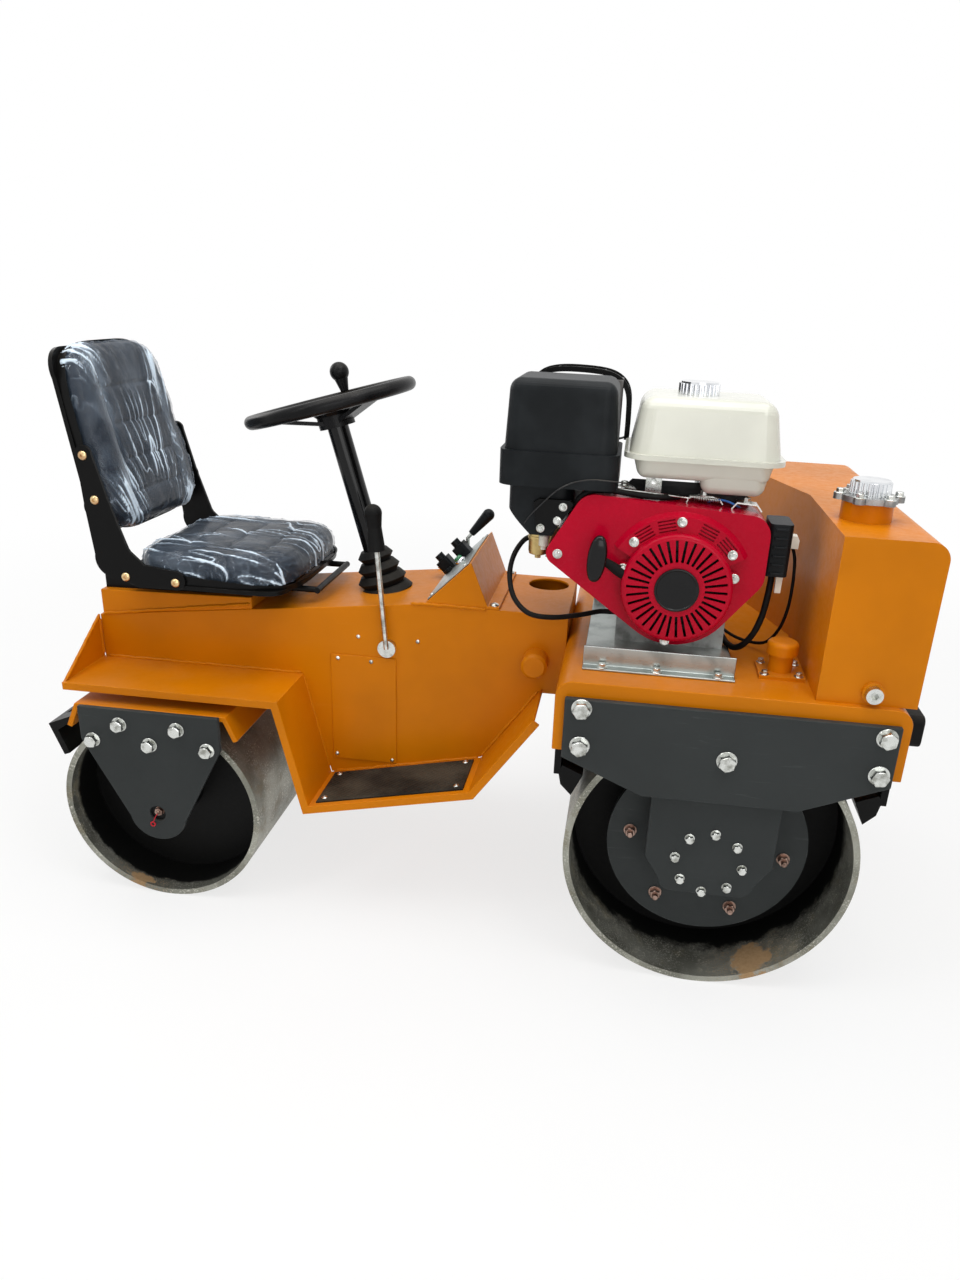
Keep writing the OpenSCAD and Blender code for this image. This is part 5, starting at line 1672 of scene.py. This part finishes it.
    def wrapped(self, mesh: bpy.types.Mesh) -> tuple[Surface, Array]:
        """The film over the pad: its points pushed out by about 1 mm and by creases, which run along the
        zero lines of two fields, stretched along the film's pull and unrolled down the pad's sides.

        Args:
            mesh: The finished cushion's mesh, in the machine's frame.

        Returns:
            The film's surface and, for each of its points, how creased it is with the painted sheen along
            the bolsters added, which its material draws as painted highlight.
        """
        points = self.coordinates(mesh)
        normals = np.zeros(len(points) * 3, np.float32)
        mesh.vertex_normals.foreach_get("vector", normals)
        normals = normals.reshape(-1, 3)
        own = (points - self.centre) @ self.axes
        outer = np.abs(own[:, :2]) > np.array(self.half) * 0.8
        face = own[:, :2] - outer * (own[:, 2:3] - self.depth) * np.sign(own[:, :2])
        strength = np.clip(0.42 + 1.1 * wavering(face, np.array([3.0, 3.0]), 6, self.seed + 1), 0.0, 1.0)
        width = 0.0014 + 0.0014 * strength
        long = crease_lines(lambda at: self.pulled(at, 1.0, 0), face, width)
        fine = crease_lines(lambda at: self.pulled(at, 1.4, 5), face, width * 0.9)
        ridge = np.maximum(long, 0.7 * fine) * np.clip(0.12 + strength * 1.1, 0, 1)
        small_field = wavering(own, np.array([22.0, 22.0, 22.0]), 14, self.seed + 2)
        small = np.clip(1 - np.abs(small_field), 0, 1) ** 7
        facets = np.abs(wavering(face, np.array([9.0, 6.0]), 8, self.seed + 3))
        sideways, lengthwise = (np.abs(own[:, k]) / self.half[k] for k in (0, 1))
        corner = np.clip(sideways**4 + lengthwise**4 - 0.25, 0, 1)
        patches = np.clip(0.35 + 1.5 * wavering(face, np.array([5.0, 5.0]), 6, self.seed + 4), 0.0, 1.0)
        small = small * np.clip(corner * 0.8 + 0.5 * patches, 0, 1)
        # Painted sheen: a bright band along each bolster, as strong as gather, which the film's material
        # draws as a painted highlight.
        bolster_sheen = np.exp(-(((np.abs(own[:, 0]) / self.side(own[:, 1]) - 0.66) / 0.1) ** 2)) * self.gather
        height = FILM_LIFT + RIDGE_HEIGHT * ridge + SMALL_HEIGHT * small + FACET_HEIGHT * facets
        # The crease value mixes milky crease whitening with painted highlight along the ridges, facets and
        # bolsters.
        crease = np.clip(0.9 * ridge + small * 0.6 + bolster_sheen * (0.6 + 0.4 * strength) + 0.1 * facets, 0, 1)
        pushed = points + normals * height[:, None]
        faces = np.array([list(polygon.vertices) for polygon in mesh.polygons])
        shown = (own[:, 2] > self.depth * 0.16)[faces].all(1)
        faces = faces[shown]
        used = np.unique(faces)
        number = np.full(len(points), -1)
        number[used] = np.arange(len(used))
        return Surface(pushed[used], number[faces]), crease[used]

    def build(self, palette: Palette) -> None:
        """Builds the cushion and its film.

        Args:
            palette: The finishes.
        """
        points, faces = self.swollen()
        mesh = bpy.data.meshes.new("pad_fine")
        mesh.from_pydata(self.kept_inside(points).tolist(), [], faces)
        rough = linked("pad_fine", mesh)
        finer = rough.modifiers.new("finer", "SUBSURF")
        finer.levels = 1
        finer.render_levels = 1
        dense = baked(rough)
        bpy.data.objects.remove(rough)
        own = self.kept_inside(self.sewn(self.coordinates(dense)))
        dense.vertices.foreach_set("co", (own @ self.axes.T + self.centre).astype(np.float32).ravel())
        dense.update()
        dense.shade_smooth()
        dense.name = self.name
        dense.materials.clear()
        dense.materials.append(palette.vinyl)
        cushion = linked(self.name, dense)
        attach(cushion, Body.CHASSIS.value)
        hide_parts(self.node)
        log.info("cushion %s: %d points", self.name, len(dense.vertices))
        surface, crease = self.wrapped(dense)
        film = piece(f"{self.name}_film", surface, palette.film, 180.0)
        # Stores the crease whitening and painted sheen for the film's painted highlights.
        values = film.data.attributes.new("crease", "FLOAT", "POINT").data
        values.foreach_set("value", crease.astype(np.float32))


@dataclass
class Seat:
    """The two cushions, each with its film, and the rims that hold them.

    Attributes:
        palette: The finishes.
        foot: Where the back cushion's foot meets its shell.
        lean: Backward lean of the back, in degrees.
        width: Width of both cushions.
        back: Height and thickness of the back cushion.
        narrow: How much each side of the back draws in from its foot to its top.
    """

    palette: Palette
    foot: Point = (-0.6785, 0.0, 0.692)
    lean: float = 12.5
    width: float = 0.344
    back: tuple[float, float] = (0.330, 0.046)
    narrow: float = 0.024

    def build(self) -> None:
        """Builds both cushions where the CAD model has them, and their rims."""
        low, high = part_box("seat_cushion")
        middle = np.array([(low.x + high.x) / 2, 0.0, low.z])
        size = (high.x - low.x, high.z - low.z)
        half = (size[0] / 2, self.width / 2)
        seams = [(1, y, 0.125) for y in (-0.112, 0.112)] + [(0, x, 0.110) for x in (-0.065, 0.010, 0.085)]
        pad = Pad("seat_pad", "seat_cushion", middle, np.eye(3), half, size[1], seams, (2.2, 8.0), SEED)
        pad.build(self.palette)
        a = math.radians(self.lean)
        up = np.array([-math.sin(a), 0.0, math.cos(a)])
        out = np.array([math.cos(a), 0.0, math.sin(a)])
        middle = np.array(self.foot) + up * self.back[0] / 2 + out * 0.0003
        axes = np.stack([Y_AXIS, up, out], -1)
        half = (self.width / 2, self.back[0] / 2)
        seams = [(0, y, 0.145) for y in (-0.098, 0.098)]
        seams += [(1, z, 0.096) for z in (0.085, 0.020, -0.045, -0.105)]
        pad = Pad(
            "back_pad", "back_cushion", middle, axes, half, self.back[1], seams, (9.5, 1.2), SEED + 10,
            self.narrow, 0.55,
        )
        pad.build(self.palette)
        self.rims(up, out)

    def rims(self, up: Array, out: Array) -> None:
        """The pressed rims of the pan and the shell: a hoop of thin sections that follows each cushion's
        outline, a superellipse, with a lip that curls outwards.

        Args:
            up: Direction up the back.
            out: Direction out of the back.
        """
        c, s = np.cos(angles(96)), np.sin(angles(96))
        a, b = squared(c, 0.42), squared(s, 0.42)
        low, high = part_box("seat_cushion")
        inner = [[0.0, 0.0], [0.0, 0.5], [0.0025, 0.92], [0.0055, 1.0]]
        outer = [[0.0055, 0.88], [0.0038, 0.5], [0.0034, 0.0]]
        section = np.array(inner + outer)
        half = np.array([(high.x - low.x) / 2 + 0.003, self.width / 2 + 0.0006])
        outward = np.stack([c, s, np.zeros_like(c)], -1)
        along = (low.x + high.x) / 2 + half[0] * a
        line = np.stack([along, half[1] * b, np.full_like(a, low.z - 0.004)], -1)
        rise = 0.020 - 0.009 * a
        rings = line[:, None] + outward[:, None] * section[None, :, :1]
        rings = rings + (rise[:, None] * section[None, :, 1])[..., None] * Z_AXIS
        piece("seat_pan_rim", hoop(rings), self.palette.black, 40.0)
        tall = self.back[0] / 2 - 0.001
        wide = self.width / 2 - 0.001 - self.narrow * (b * 0.5 + 0.5)
        middle = np.array(self.foot) + up * self.back[0] / 2 - out * 0.007
        line = middle + (wide * a)[:, None] * Y_AXIS + (tall * b)[:, None] * up
        outward = c[:, None] * Y_AXIS + s[:, None] * up
        rings = line[:, None] + outward[:, None] * section[None, :, :1]
        rings = rings + (0.024 * section[None, :, 1])[..., None] * out
        piece("seat_shell_rim", hoop(rings), self.palette.black, 40.0)


# Step mats


@dataclass
class StepMats:
    """The tread mats on both steps.

    Attributes:
        palette: The finishes.
        foot: Rear inner corner of the right mat's underside, by X, Y and Z.
        size: Length up the step and width.
        thickness: Thickness of the mat below its ribs.
        pitch: Distance between its crossing ribs.
        rib: Height of the ribs.
    """

    palette: Palette
    foot: Point = (-0.2638, -0.137, 0.2305)
    size: tuple[float, float] = (0.2859, 0.121)
    thickness: float = 0.004
    pitch: float = 0.0125
    rib: float = 0.0013

    def tread(self) -> Surface:
        """One mat: thickness plus a rib of rib * exp(-(d / 0.16)^2) along both diagonals, d being the
        distance to the nearest diagonal in pitches, faded out at the border, over a flat underside."""
        rows, columns = 191, 81
        along, across = np.linspace(0, self.size[0], rows), np.linspace(0, self.size[1], columns)
        u, v = np.meshgrid(along, across, indexing="ij")
        first, second = ((u + k * v) / self.pitch for k in (1, -1))
        gap = np.minimum(np.abs(first - np.round(first)), np.abs(second - np.round(second)))
        border = np.minimum(np.minimum(u, self.size[0] - u), np.minimum(v, self.size[1] - v))
        ribs = self.rib * np.exp(-((gap / 0.16) ** 2)) * np.clip((border - 0.004) / 0.002, 0, 1)
        round_off = 0.0012 * np.exp(-border / 0.0012)
        top = np.stack([u, -v, self.thickness + ribs - round_off], -1)
        base = np.stack([u, -v, np.full_like(u, 0.0002)], -1)
        around = np.concatenate([
            np.arange(columns), columns * np.arange(1, rows) + columns - 1,
            columns * (rows - 1) + np.arange(columns - 2, -1, -1), columns * np.arange(rows - 2, 0, -1),
        ])
        ahead = np.roll(around, -1)
        count = rows * columns
        walls = np.stack([around, ahead, ahead + count, around + count], -1)
        grid = grid_quads(rows, columns, False)
        points = np.concatenate([top.reshape(-1, 3), base.reshape(-1, 3)])
        return Surface(points, np.concatenate([grid, grid[:, ::-1] + count, walls]))

    def build(self) -> None:
        """Lays both mats and screws them down."""
        run = unit(np.array([0.303, 0.0, 0.065]))
        axes = np.stack([run, Y_AXIS, np.cross(run, Y_AXIS)], -1)
        right = self.tread().placed(np.array(self.foot), axes)
        mats = piece("tread_mats", joined([right, right.mirrored()]), self.palette.mat, 50.0)
        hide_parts("step_mats")
        spots = [(u, v) for u in (0.014, self.size[0] - 0.014) for v in (0.012, self.size[1] - 0.012)]
        top = np.array(self.foot)
        places = [top + run * u - Y_AXIS * v + axes[:, 2] * self.thickness for u, v in spots]
        shape = ScrewKind(0.006, 0.003).shape()
        heads = [shape.placed(place, axes_along(axes[:, 2])) for place in places]
        both = joined(heads + [head.mirrored() for head in heads])
        piece("mat_screws", both, self.palette.zinc, BOLT_SHARP)


# Engine's small parts


@dataclass
class EngineTrim:
    """The engine's handle, linkage, brackets, guard and wiring, by places in the engine's own frame.

    Attributes:
        palette: The finishes.
    """

    palette: Palette

    @staticmethod
    def at(*points: Sequence[float]) -> Array:
        """Places of the engine's frame, in millimetres, as points of the machine's frame."""
        return ENGINE + np.asarray(points, float) / 1000.0

    def starter(self) -> None:
        """The pull handle: rounded sections whose width follows (1 - s^2)^0.4 along its length, its rope's
        boot, and the turned disc and pulley in the middle of the recoil cover."""
        p = self.palette
        s = np.sin(np.linspace(-1, 1, 25) * math.pi / 2) * 0.9999
        angle = angles(28)
        wide = 0.0155 * (1 - s**2) ** 0.4
        deep = 0.0125 * (1 - s**2) ** 0.3 * (0.8 + 0.2 * np.abs(s))
        first = wide[:, None] * squared(np.cos(angle), 0.7)
        second = deep[:, None] * squared(np.sin(angle), 0.7)
        rings = np.stack([first, second, np.broadcast_to(0.038 * s[:, None], first.shape)], -1)
        c, d = math.cos(math.radians(5)), math.sin(math.radians(5))
        axes = np.array([[c, 0, d], [0, 1, 0], [-d, 0, c]])
        body = skin(rings).placed(self.at(-131, -13, 178), axes)
        neck = bar(np.linspace(self.at(-131, -6, 178), self.at(-131, 27, 178), 6), 0.007, 16)
        handle = piece("starter_handle", joined([body, neck]), p.gloss_black, 50.0)
        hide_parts("starter_grip")
        path = smooth_path(self.at((-124, 2, 174), (-110, 6, 165), (-97, 10, 156), (-84, 14, 149)), 6)
        swell = np.interp(np.linspace(0, 1, len(path)), [0, 0.3, 1], [0.0055, 0.0075, 0.0105])
        piece("starter_boot", bar(path, swell, 16), p.rubber, 60.0)
        profile = [
            (0.034, 0.0002), (0.0358, 0.0006), (0.036, 0.002), (0.0355, 0.0036), (0.0345, 0.0042),
            (0.0332, 0.0042), (0.0324, 0.0036), (0.0318, 0.0030), (0.030, 0.0030), (0.022, 0.0036),
            (0.012, 0.0040), (0.003, 0.0042),
        ]
        disc = turned(profile, 64).placed(CRANK, axes_along(-Y_AXIS))
        spool = [
            (0.080, 0.0), (0.083, 0.001), (0.083, 0.006), (0.080, 0.008), (0.062, 0.008),
            (0.059, 0.005), (0.046, 0.005), (0.043, 0.010), (0.020, 0.011), (0.004, 0.011),
        ]
        pulley = turned(spool, 48).placed(CRANK + Y_AXIS * 0.020, axes_along(-Y_AXIS))
        piece("starter_pulley", pulley, p.black, 40.0)
        boss = piece("recoil_boss", disc, p.gloss_black, 40.0)
        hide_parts("recoil_disc")

    def fuel_side(self) -> None:
        """The carburettor: its body, a turned bowl with a drain screw, the filter and the choke's plate."""
        p = self.palette
        bowl = [
            (0.012, -0.0465), (0.0155, -0.045), (0.0168, -0.040), (0.017, -0.020), (0.0172, -0.019),
            (0.0182, -0.0185), (0.0182, -0.014), (0.017, -0.0135), (0.0165, -0.0005), (0.006, -0.0002),
        ]
        drain = hexagon(0.010, 0.006).placed(self.at(-236, 100, 143))
        low = joined([turned(bowl, 40).placed(self.at(-236, 100, 196)), drain])
        body = [
            (-0.233, 0.160), (-0.229, 0.157), (-0.183, 0.157), (-0.179, 0.160), (-0.179, 0.1955),
            (-0.233, 0.1955),
        ]
        block = plate(body, ENGINE + [0, 0.1298, 0], FACING, 0.0168)
        cast = piece("carburettor_bowl", joined([low, block]), p.brass, 35.0)
        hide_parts("carburettor")
        filter_line = [
            (0.002, 0.0), (0.0045, 0.0), (0.0045, 0.005), (0.008, 0.007), (0.008, 0.020),
            (0.0085, 0.0205), (0.0085, 0.0235), (0.0065, 0.025), (0.003, 0.030),
        ]
        strainer = turned(filter_line, 24).placed(self.at(-224, 60, 168))
        piece("fuel_filter", strainer, p.pale_plastic, 40.0)
        choke = [
            (-0.241, 0.252), (-0.232, 0.258), (-0.182, 0.258), (-0.176, 0.252), (-0.196, 0.220),
            (-0.212, 0.202), (-0.234, 0.201),
        ]
        cover = plate(choke, ENGINE + [0, 0.0425, 0], FACING, 0.010)
        piece("choke_cover", cover, p.black, 35.0)
        kind = BoltKind(0.009, 0.005, 0.007, 0.0014)
        spots = self.at((-228, 32.5, 210), (-201, 32.5, 224), (-193, 32.5, 247))
        heads = [kind.shape().placed(spot, axes_along(-Y_AXIS, 0.4 * k)) for k, spot in enumerate(spots)]
        piece("choke_bolts", joined(heads), p.zinc, BOLT_SHARP)
        wire = self.at(
            (-256, 40, 214), (-244, 30, 232), (-225, 22, 254), (-204, 12, 276), (-181, 11, 290),
            (-150, 12, 297), (-118, 16, 296), (-98, 34, 292), (-84, 60, 283),
        )
        piece("choke_wire", bar(smooth_path(wire), 0.0011, 8), p.iron, 60.0)

    def linkage(self) -> None:
        """The governor's rod and spring, the control brackets with their bolts, and the shroud's hose."""
        p = self.palette
        rod = self.at(
            (-166, 60, 272), (-166, 54, 281), (-150, 52, 281), (-60, 52, 276), (0, 52, 272), (8, 56, 271),
            (9, 64, 268),
        )
        rear = self.at((-118, 72, 276), (-112, 72, 282), (-84, 72, 279), (-78, 72, 274), (-78, 72, 264))
        upright = self.at((-51, 84, 262), (-51, 84, 284), (-51, 84, 300))
        middle = self.at((4, 74, 262), (8, 74, 271), (44, 74, 273), (56, 74, 270), (62, 74, 262))
        ahead = self.at((76, 70, 258), (84, 70, 268), (116, 70, 266), (124, 70, 256))
        parts = [
            bar(smooth_path(rod), 0.0015, 8),
            coil(*self.at((16, 66, 270), (58, 66, 268)), 0.0036, 0.0007, 11),
            strap(rear, 0.016, 0.0022, Y_AXIS),
            strap(upright, 0.026, 0.003, X_AXIS),
            strap(middle, 0.014, 0.002, Y_AXIS),
            strap(ahead, 0.022, 0.0024, Y_AXIS),
        ]
        piece("control_brackets", joined(parts), p.zinc, 35.0)
        kind = BoltKind(0.010, 0.006, 0.0085, 0.0014)
        front = [kind.shape().placed(self.at(-51, 82.5, 290), axes_along(-Y_AXIS, 0.2))]
        above = self.at((-98, 72, 281.5), (30, 74, 273.5), (100, 70, 268.5))
        tops = [kind.shape().placed(spot, axes_along(Z_AXIS, 0.3 * k)) for k, spot in enumerate(above)]
        piece("control_bolts", joined(front + tops), p.zinc, BOLT_SHARP)
        hose = self.at(
            (-176, 48, 244), (-168, 40, 262), (-150, 38, 275), (-120, 38, 278), (-92, 40, 275),
            (-62, 42, 272), (-36, 48, 271), (-18, 62, 270), (-10, 84, 266), (-8, 110, 258),
        )
        piece("shroud_hose", bar(smooth_path(hose), 0.0048, 10), p.rubber, 60.0)
        wire = self.at((40, 84, 262), (52, 70, 269), (66, 64, 269), (80, 66, 264), (92, 84, 256))
        stay = [
            (-0.098, 0.236), (0.108, 0.236), (0.112, 0.262), (0.092, 0.284), (-0.086, 0.284),
            (-0.098, 0.272),
        ]
        piece("tank_stay", plate(stay, ENGINE + [0, 0.128, 0], FACING, 0.004), p.iron, 35.0)
        piece("sensor_wire", bar(smooth_path(wire), 0.0017, 8), p.blue_wire, 60.0)

    def guard(self) -> None:
        """The muffler's guard: straps bent over its top and down its inner side, tied by cross bars."""
        bends = self.at(
            (-276, 0, 412), (-268, 0, 430), (-246, 0, 441), (-208, 0, 445), (-150, 0, 442),
            (-120, 0, 430), (-106, 0, 408), (-103, 0, 370), (-103, 0, 330),
        )
        path = smooth_path(bends, 5)
        bands = [strap(path + Y_AXIS * y / 1000.0, 0.0185, 0.0024, Y_AXIS) for y in (258, 280, 302)]
        bands += [strap(path + Y_AXIS * y / 1000.0, 0.0026, 0.009, Y_AXIS) for y in (248.5, 311.5)]
        ties = []
        for k in (4, 12, 20, 28, 36):
            ends = path[k] + np.outer([0.250, 0.270, 0.290, 0.310], Y_AXIS)
            ties.append(bar(ends, 0.0026, 8))
        foot = strap(self.at((-103, 258, 336), (-110, 258, 332), (-117, 258, 330)), 0.012, 0.0024, Y_AXIS)
        rear = strap(self.at((-276, 258, 416), (-280, 258, 410), (-283, 258, 402)), 0.012, 0.0024, Y_AXIS)
        piece("muffler_guard", joined(bands + ties + [foot, rear]), self.palette.black, 40.0)

    def wire(self, name: str, points: Array, radius: float, node: str = "") -> None:
        """A loose lead or cable that leaves the object and goes back into it.

        Args:
            name: The piece's name.
            points: What it passes through.
            radius: Its radius.
            node: The CAD node it stands for, where there is one.
        """
        path = smooth_path(points, 5)
        made = piece(name, bar(path, radius, 10), self.palette.rubber, 60.0)
        if node:
            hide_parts(node)

    def wiring(self) -> None:
        """The throttle's cable, and the switch box's leads down to the crankcase, with their connectors."""
        cable = self.at(
            (-233.6, 123, 176), (-246, 122.5, 175), (-264, 118, 166), (-278, 98, 142), (-280, 74, 112),
            (-268, 56, 80), (-240, 46, 58), (-200, 60, 50), (-156, 92, 48), (-124, 120, 48),
            (-104, 124, 48), (-92.6, 124, 48),
        )
        self.wire("control_cable", cable, 0.0045, "throttle_cable")
        lead = self.at(
            (158, 84, 157), (158, 83, 140), (156, 80, 110), (151, 77, 76), (141, 78, 44), (127, 86, 20),
            (116, 104, 8), (106, 128, 6), (97, 150, 12), (90, 164, 18),
        )
        self.wire("box_lead", lead, 0.0055)
        lead = self.at(
            (183, 82, 198), (187, 84, 192), (193, 90, 172), (197, 98, 132), (197, 106, 86), (190, 118, 44),
            (174, 136, 12), (150, 158, 2), (122, 178, 4), (98, 194, 14), (90, 200, 20),
        )
        self.wire("side_lead", lead, 0.0028)
        block = [(-0.009, -0.010), (0.009, -0.010), (0.0095, 0.004), (0.006, 0.011), (-0.009, 0.011)]
        upper = plate(block, self.at(183, 92, 207), FACING, 0.020)
        slim = [
            (-0.005, -0.017), (0.005, -0.017), (0.0055, 0.012), (0.003, 0.019), (-0.003, 0.019),
            (-0.0055, 0.012),
        ]
        lower = plate(slim, self.at(168, 72, 140), FACING, 0.009)
        piece("box_connectors", joined([upper, lower]), self.palette.pale_plastic, 35.0)

    def build(self) -> None:
        """Builds all the small parts, the leads first."""
        self.wiring()
        self.starter()
        self.fuel_side()
        self.linkage()
        self.guard()


@dataclass
class AxleTrim:
    """The nut at the end of the rear axle, and the tag that is wired to it.

    Attributes:
        palette: The finishes.
        face: How far from the middle the axle ends.
    """

    palette: Palette
    face: float = 0.288

    def build(self) -> None:
        """Sets a nut on the axle's end and hangs a wire with a small ring from it, on the right side."""
        p = self.palette
        spot = REAR_AXLE + [0.003, -self.face, 0.005]
        kind = BoltKind(0.014, 0.007, 0.009, 0.0012, 0.004, 0.002)
        nut = kind.shape().placed(spot, axes_along(-Y_AXIS, 0.3))
        piece("axle_nut", nut, p.rusty, BOLT_SHARP, Body.YOKE)
        points = [
            (0.0, -0.012, -0.001), (-0.004, -0.013, -0.008), (-0.008, -0.0115, -0.016),
            (-0.011, -0.009, -0.022),
        ]
        wire = bar(smooth_path(spot + np.array(points), 5), 0.0008, 8)
        turn, section, thick = angles(24), angles(8), 0.0012
        reach = 0.0042 + thick * np.cos(section)
        rise = np.broadcast_to(thick * np.sin(section), (24, 8))
        rings = np.stack([np.outer(np.cos(turn), reach), rise, np.outer(np.sin(turn), reach)], -1)
        rings = rings + spot + [-0.0125, -0.0085, -0.0265]
        piece("axle_tag", joined([wire, hoop(rings)]), p.red_cap, 60.0, Body.YOKE)


@dataclass
class DashTrim:
    """The lens on the dash.

    Attributes:
        palette: The finishes.
    """

    palette: Palette

    def build(self) -> None:
        """Sets a turned lens in its bezel over the upper lamp."""
        spot = DASH_FOOT + Y_AXIS * 0.025 + DASH_RUN * 0.0609 + DASH_OUT * DASH_SHEET
        dome = [(0.0086, 0.006), (0.0088, 0.008), (0.0082, 0.0105), (0.006, 0.0125), (0.002, 0.0132)]
        collar = [(0.0115, 0.0), (0.0118, 0.002), (0.011, 0.0045), (0.0092, 0.0062), (0.0086, 0.0062)]
        lens, bezel = (turned(line, 28).placed(spot, axes_along(DASH_OUT)) for line in (dome, collar))
        piece("green_lens", lens, self.palette.green_lens, 40.0)
        piece("lens_bezel", bezel, self.palette.chrome, 40.0)


def main() -> None:
    """Builds the studio, the finishes and every sub-assembly."""
    logging.basicConfig(level=logging.INFO, format="%(message)s")
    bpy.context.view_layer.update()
    Studio().build()
    palette = Palette()
    EngineTrim(palette).build()
    Shell(palette).build()
    Fasteners(palette).build()
    Welds(palette).build()
    StepMats(palette).build()
    AxleTrim(palette).build()
    DashTrim(palette).build()
    Seat(palette).build()


if __name__ == "__main__":
    main()
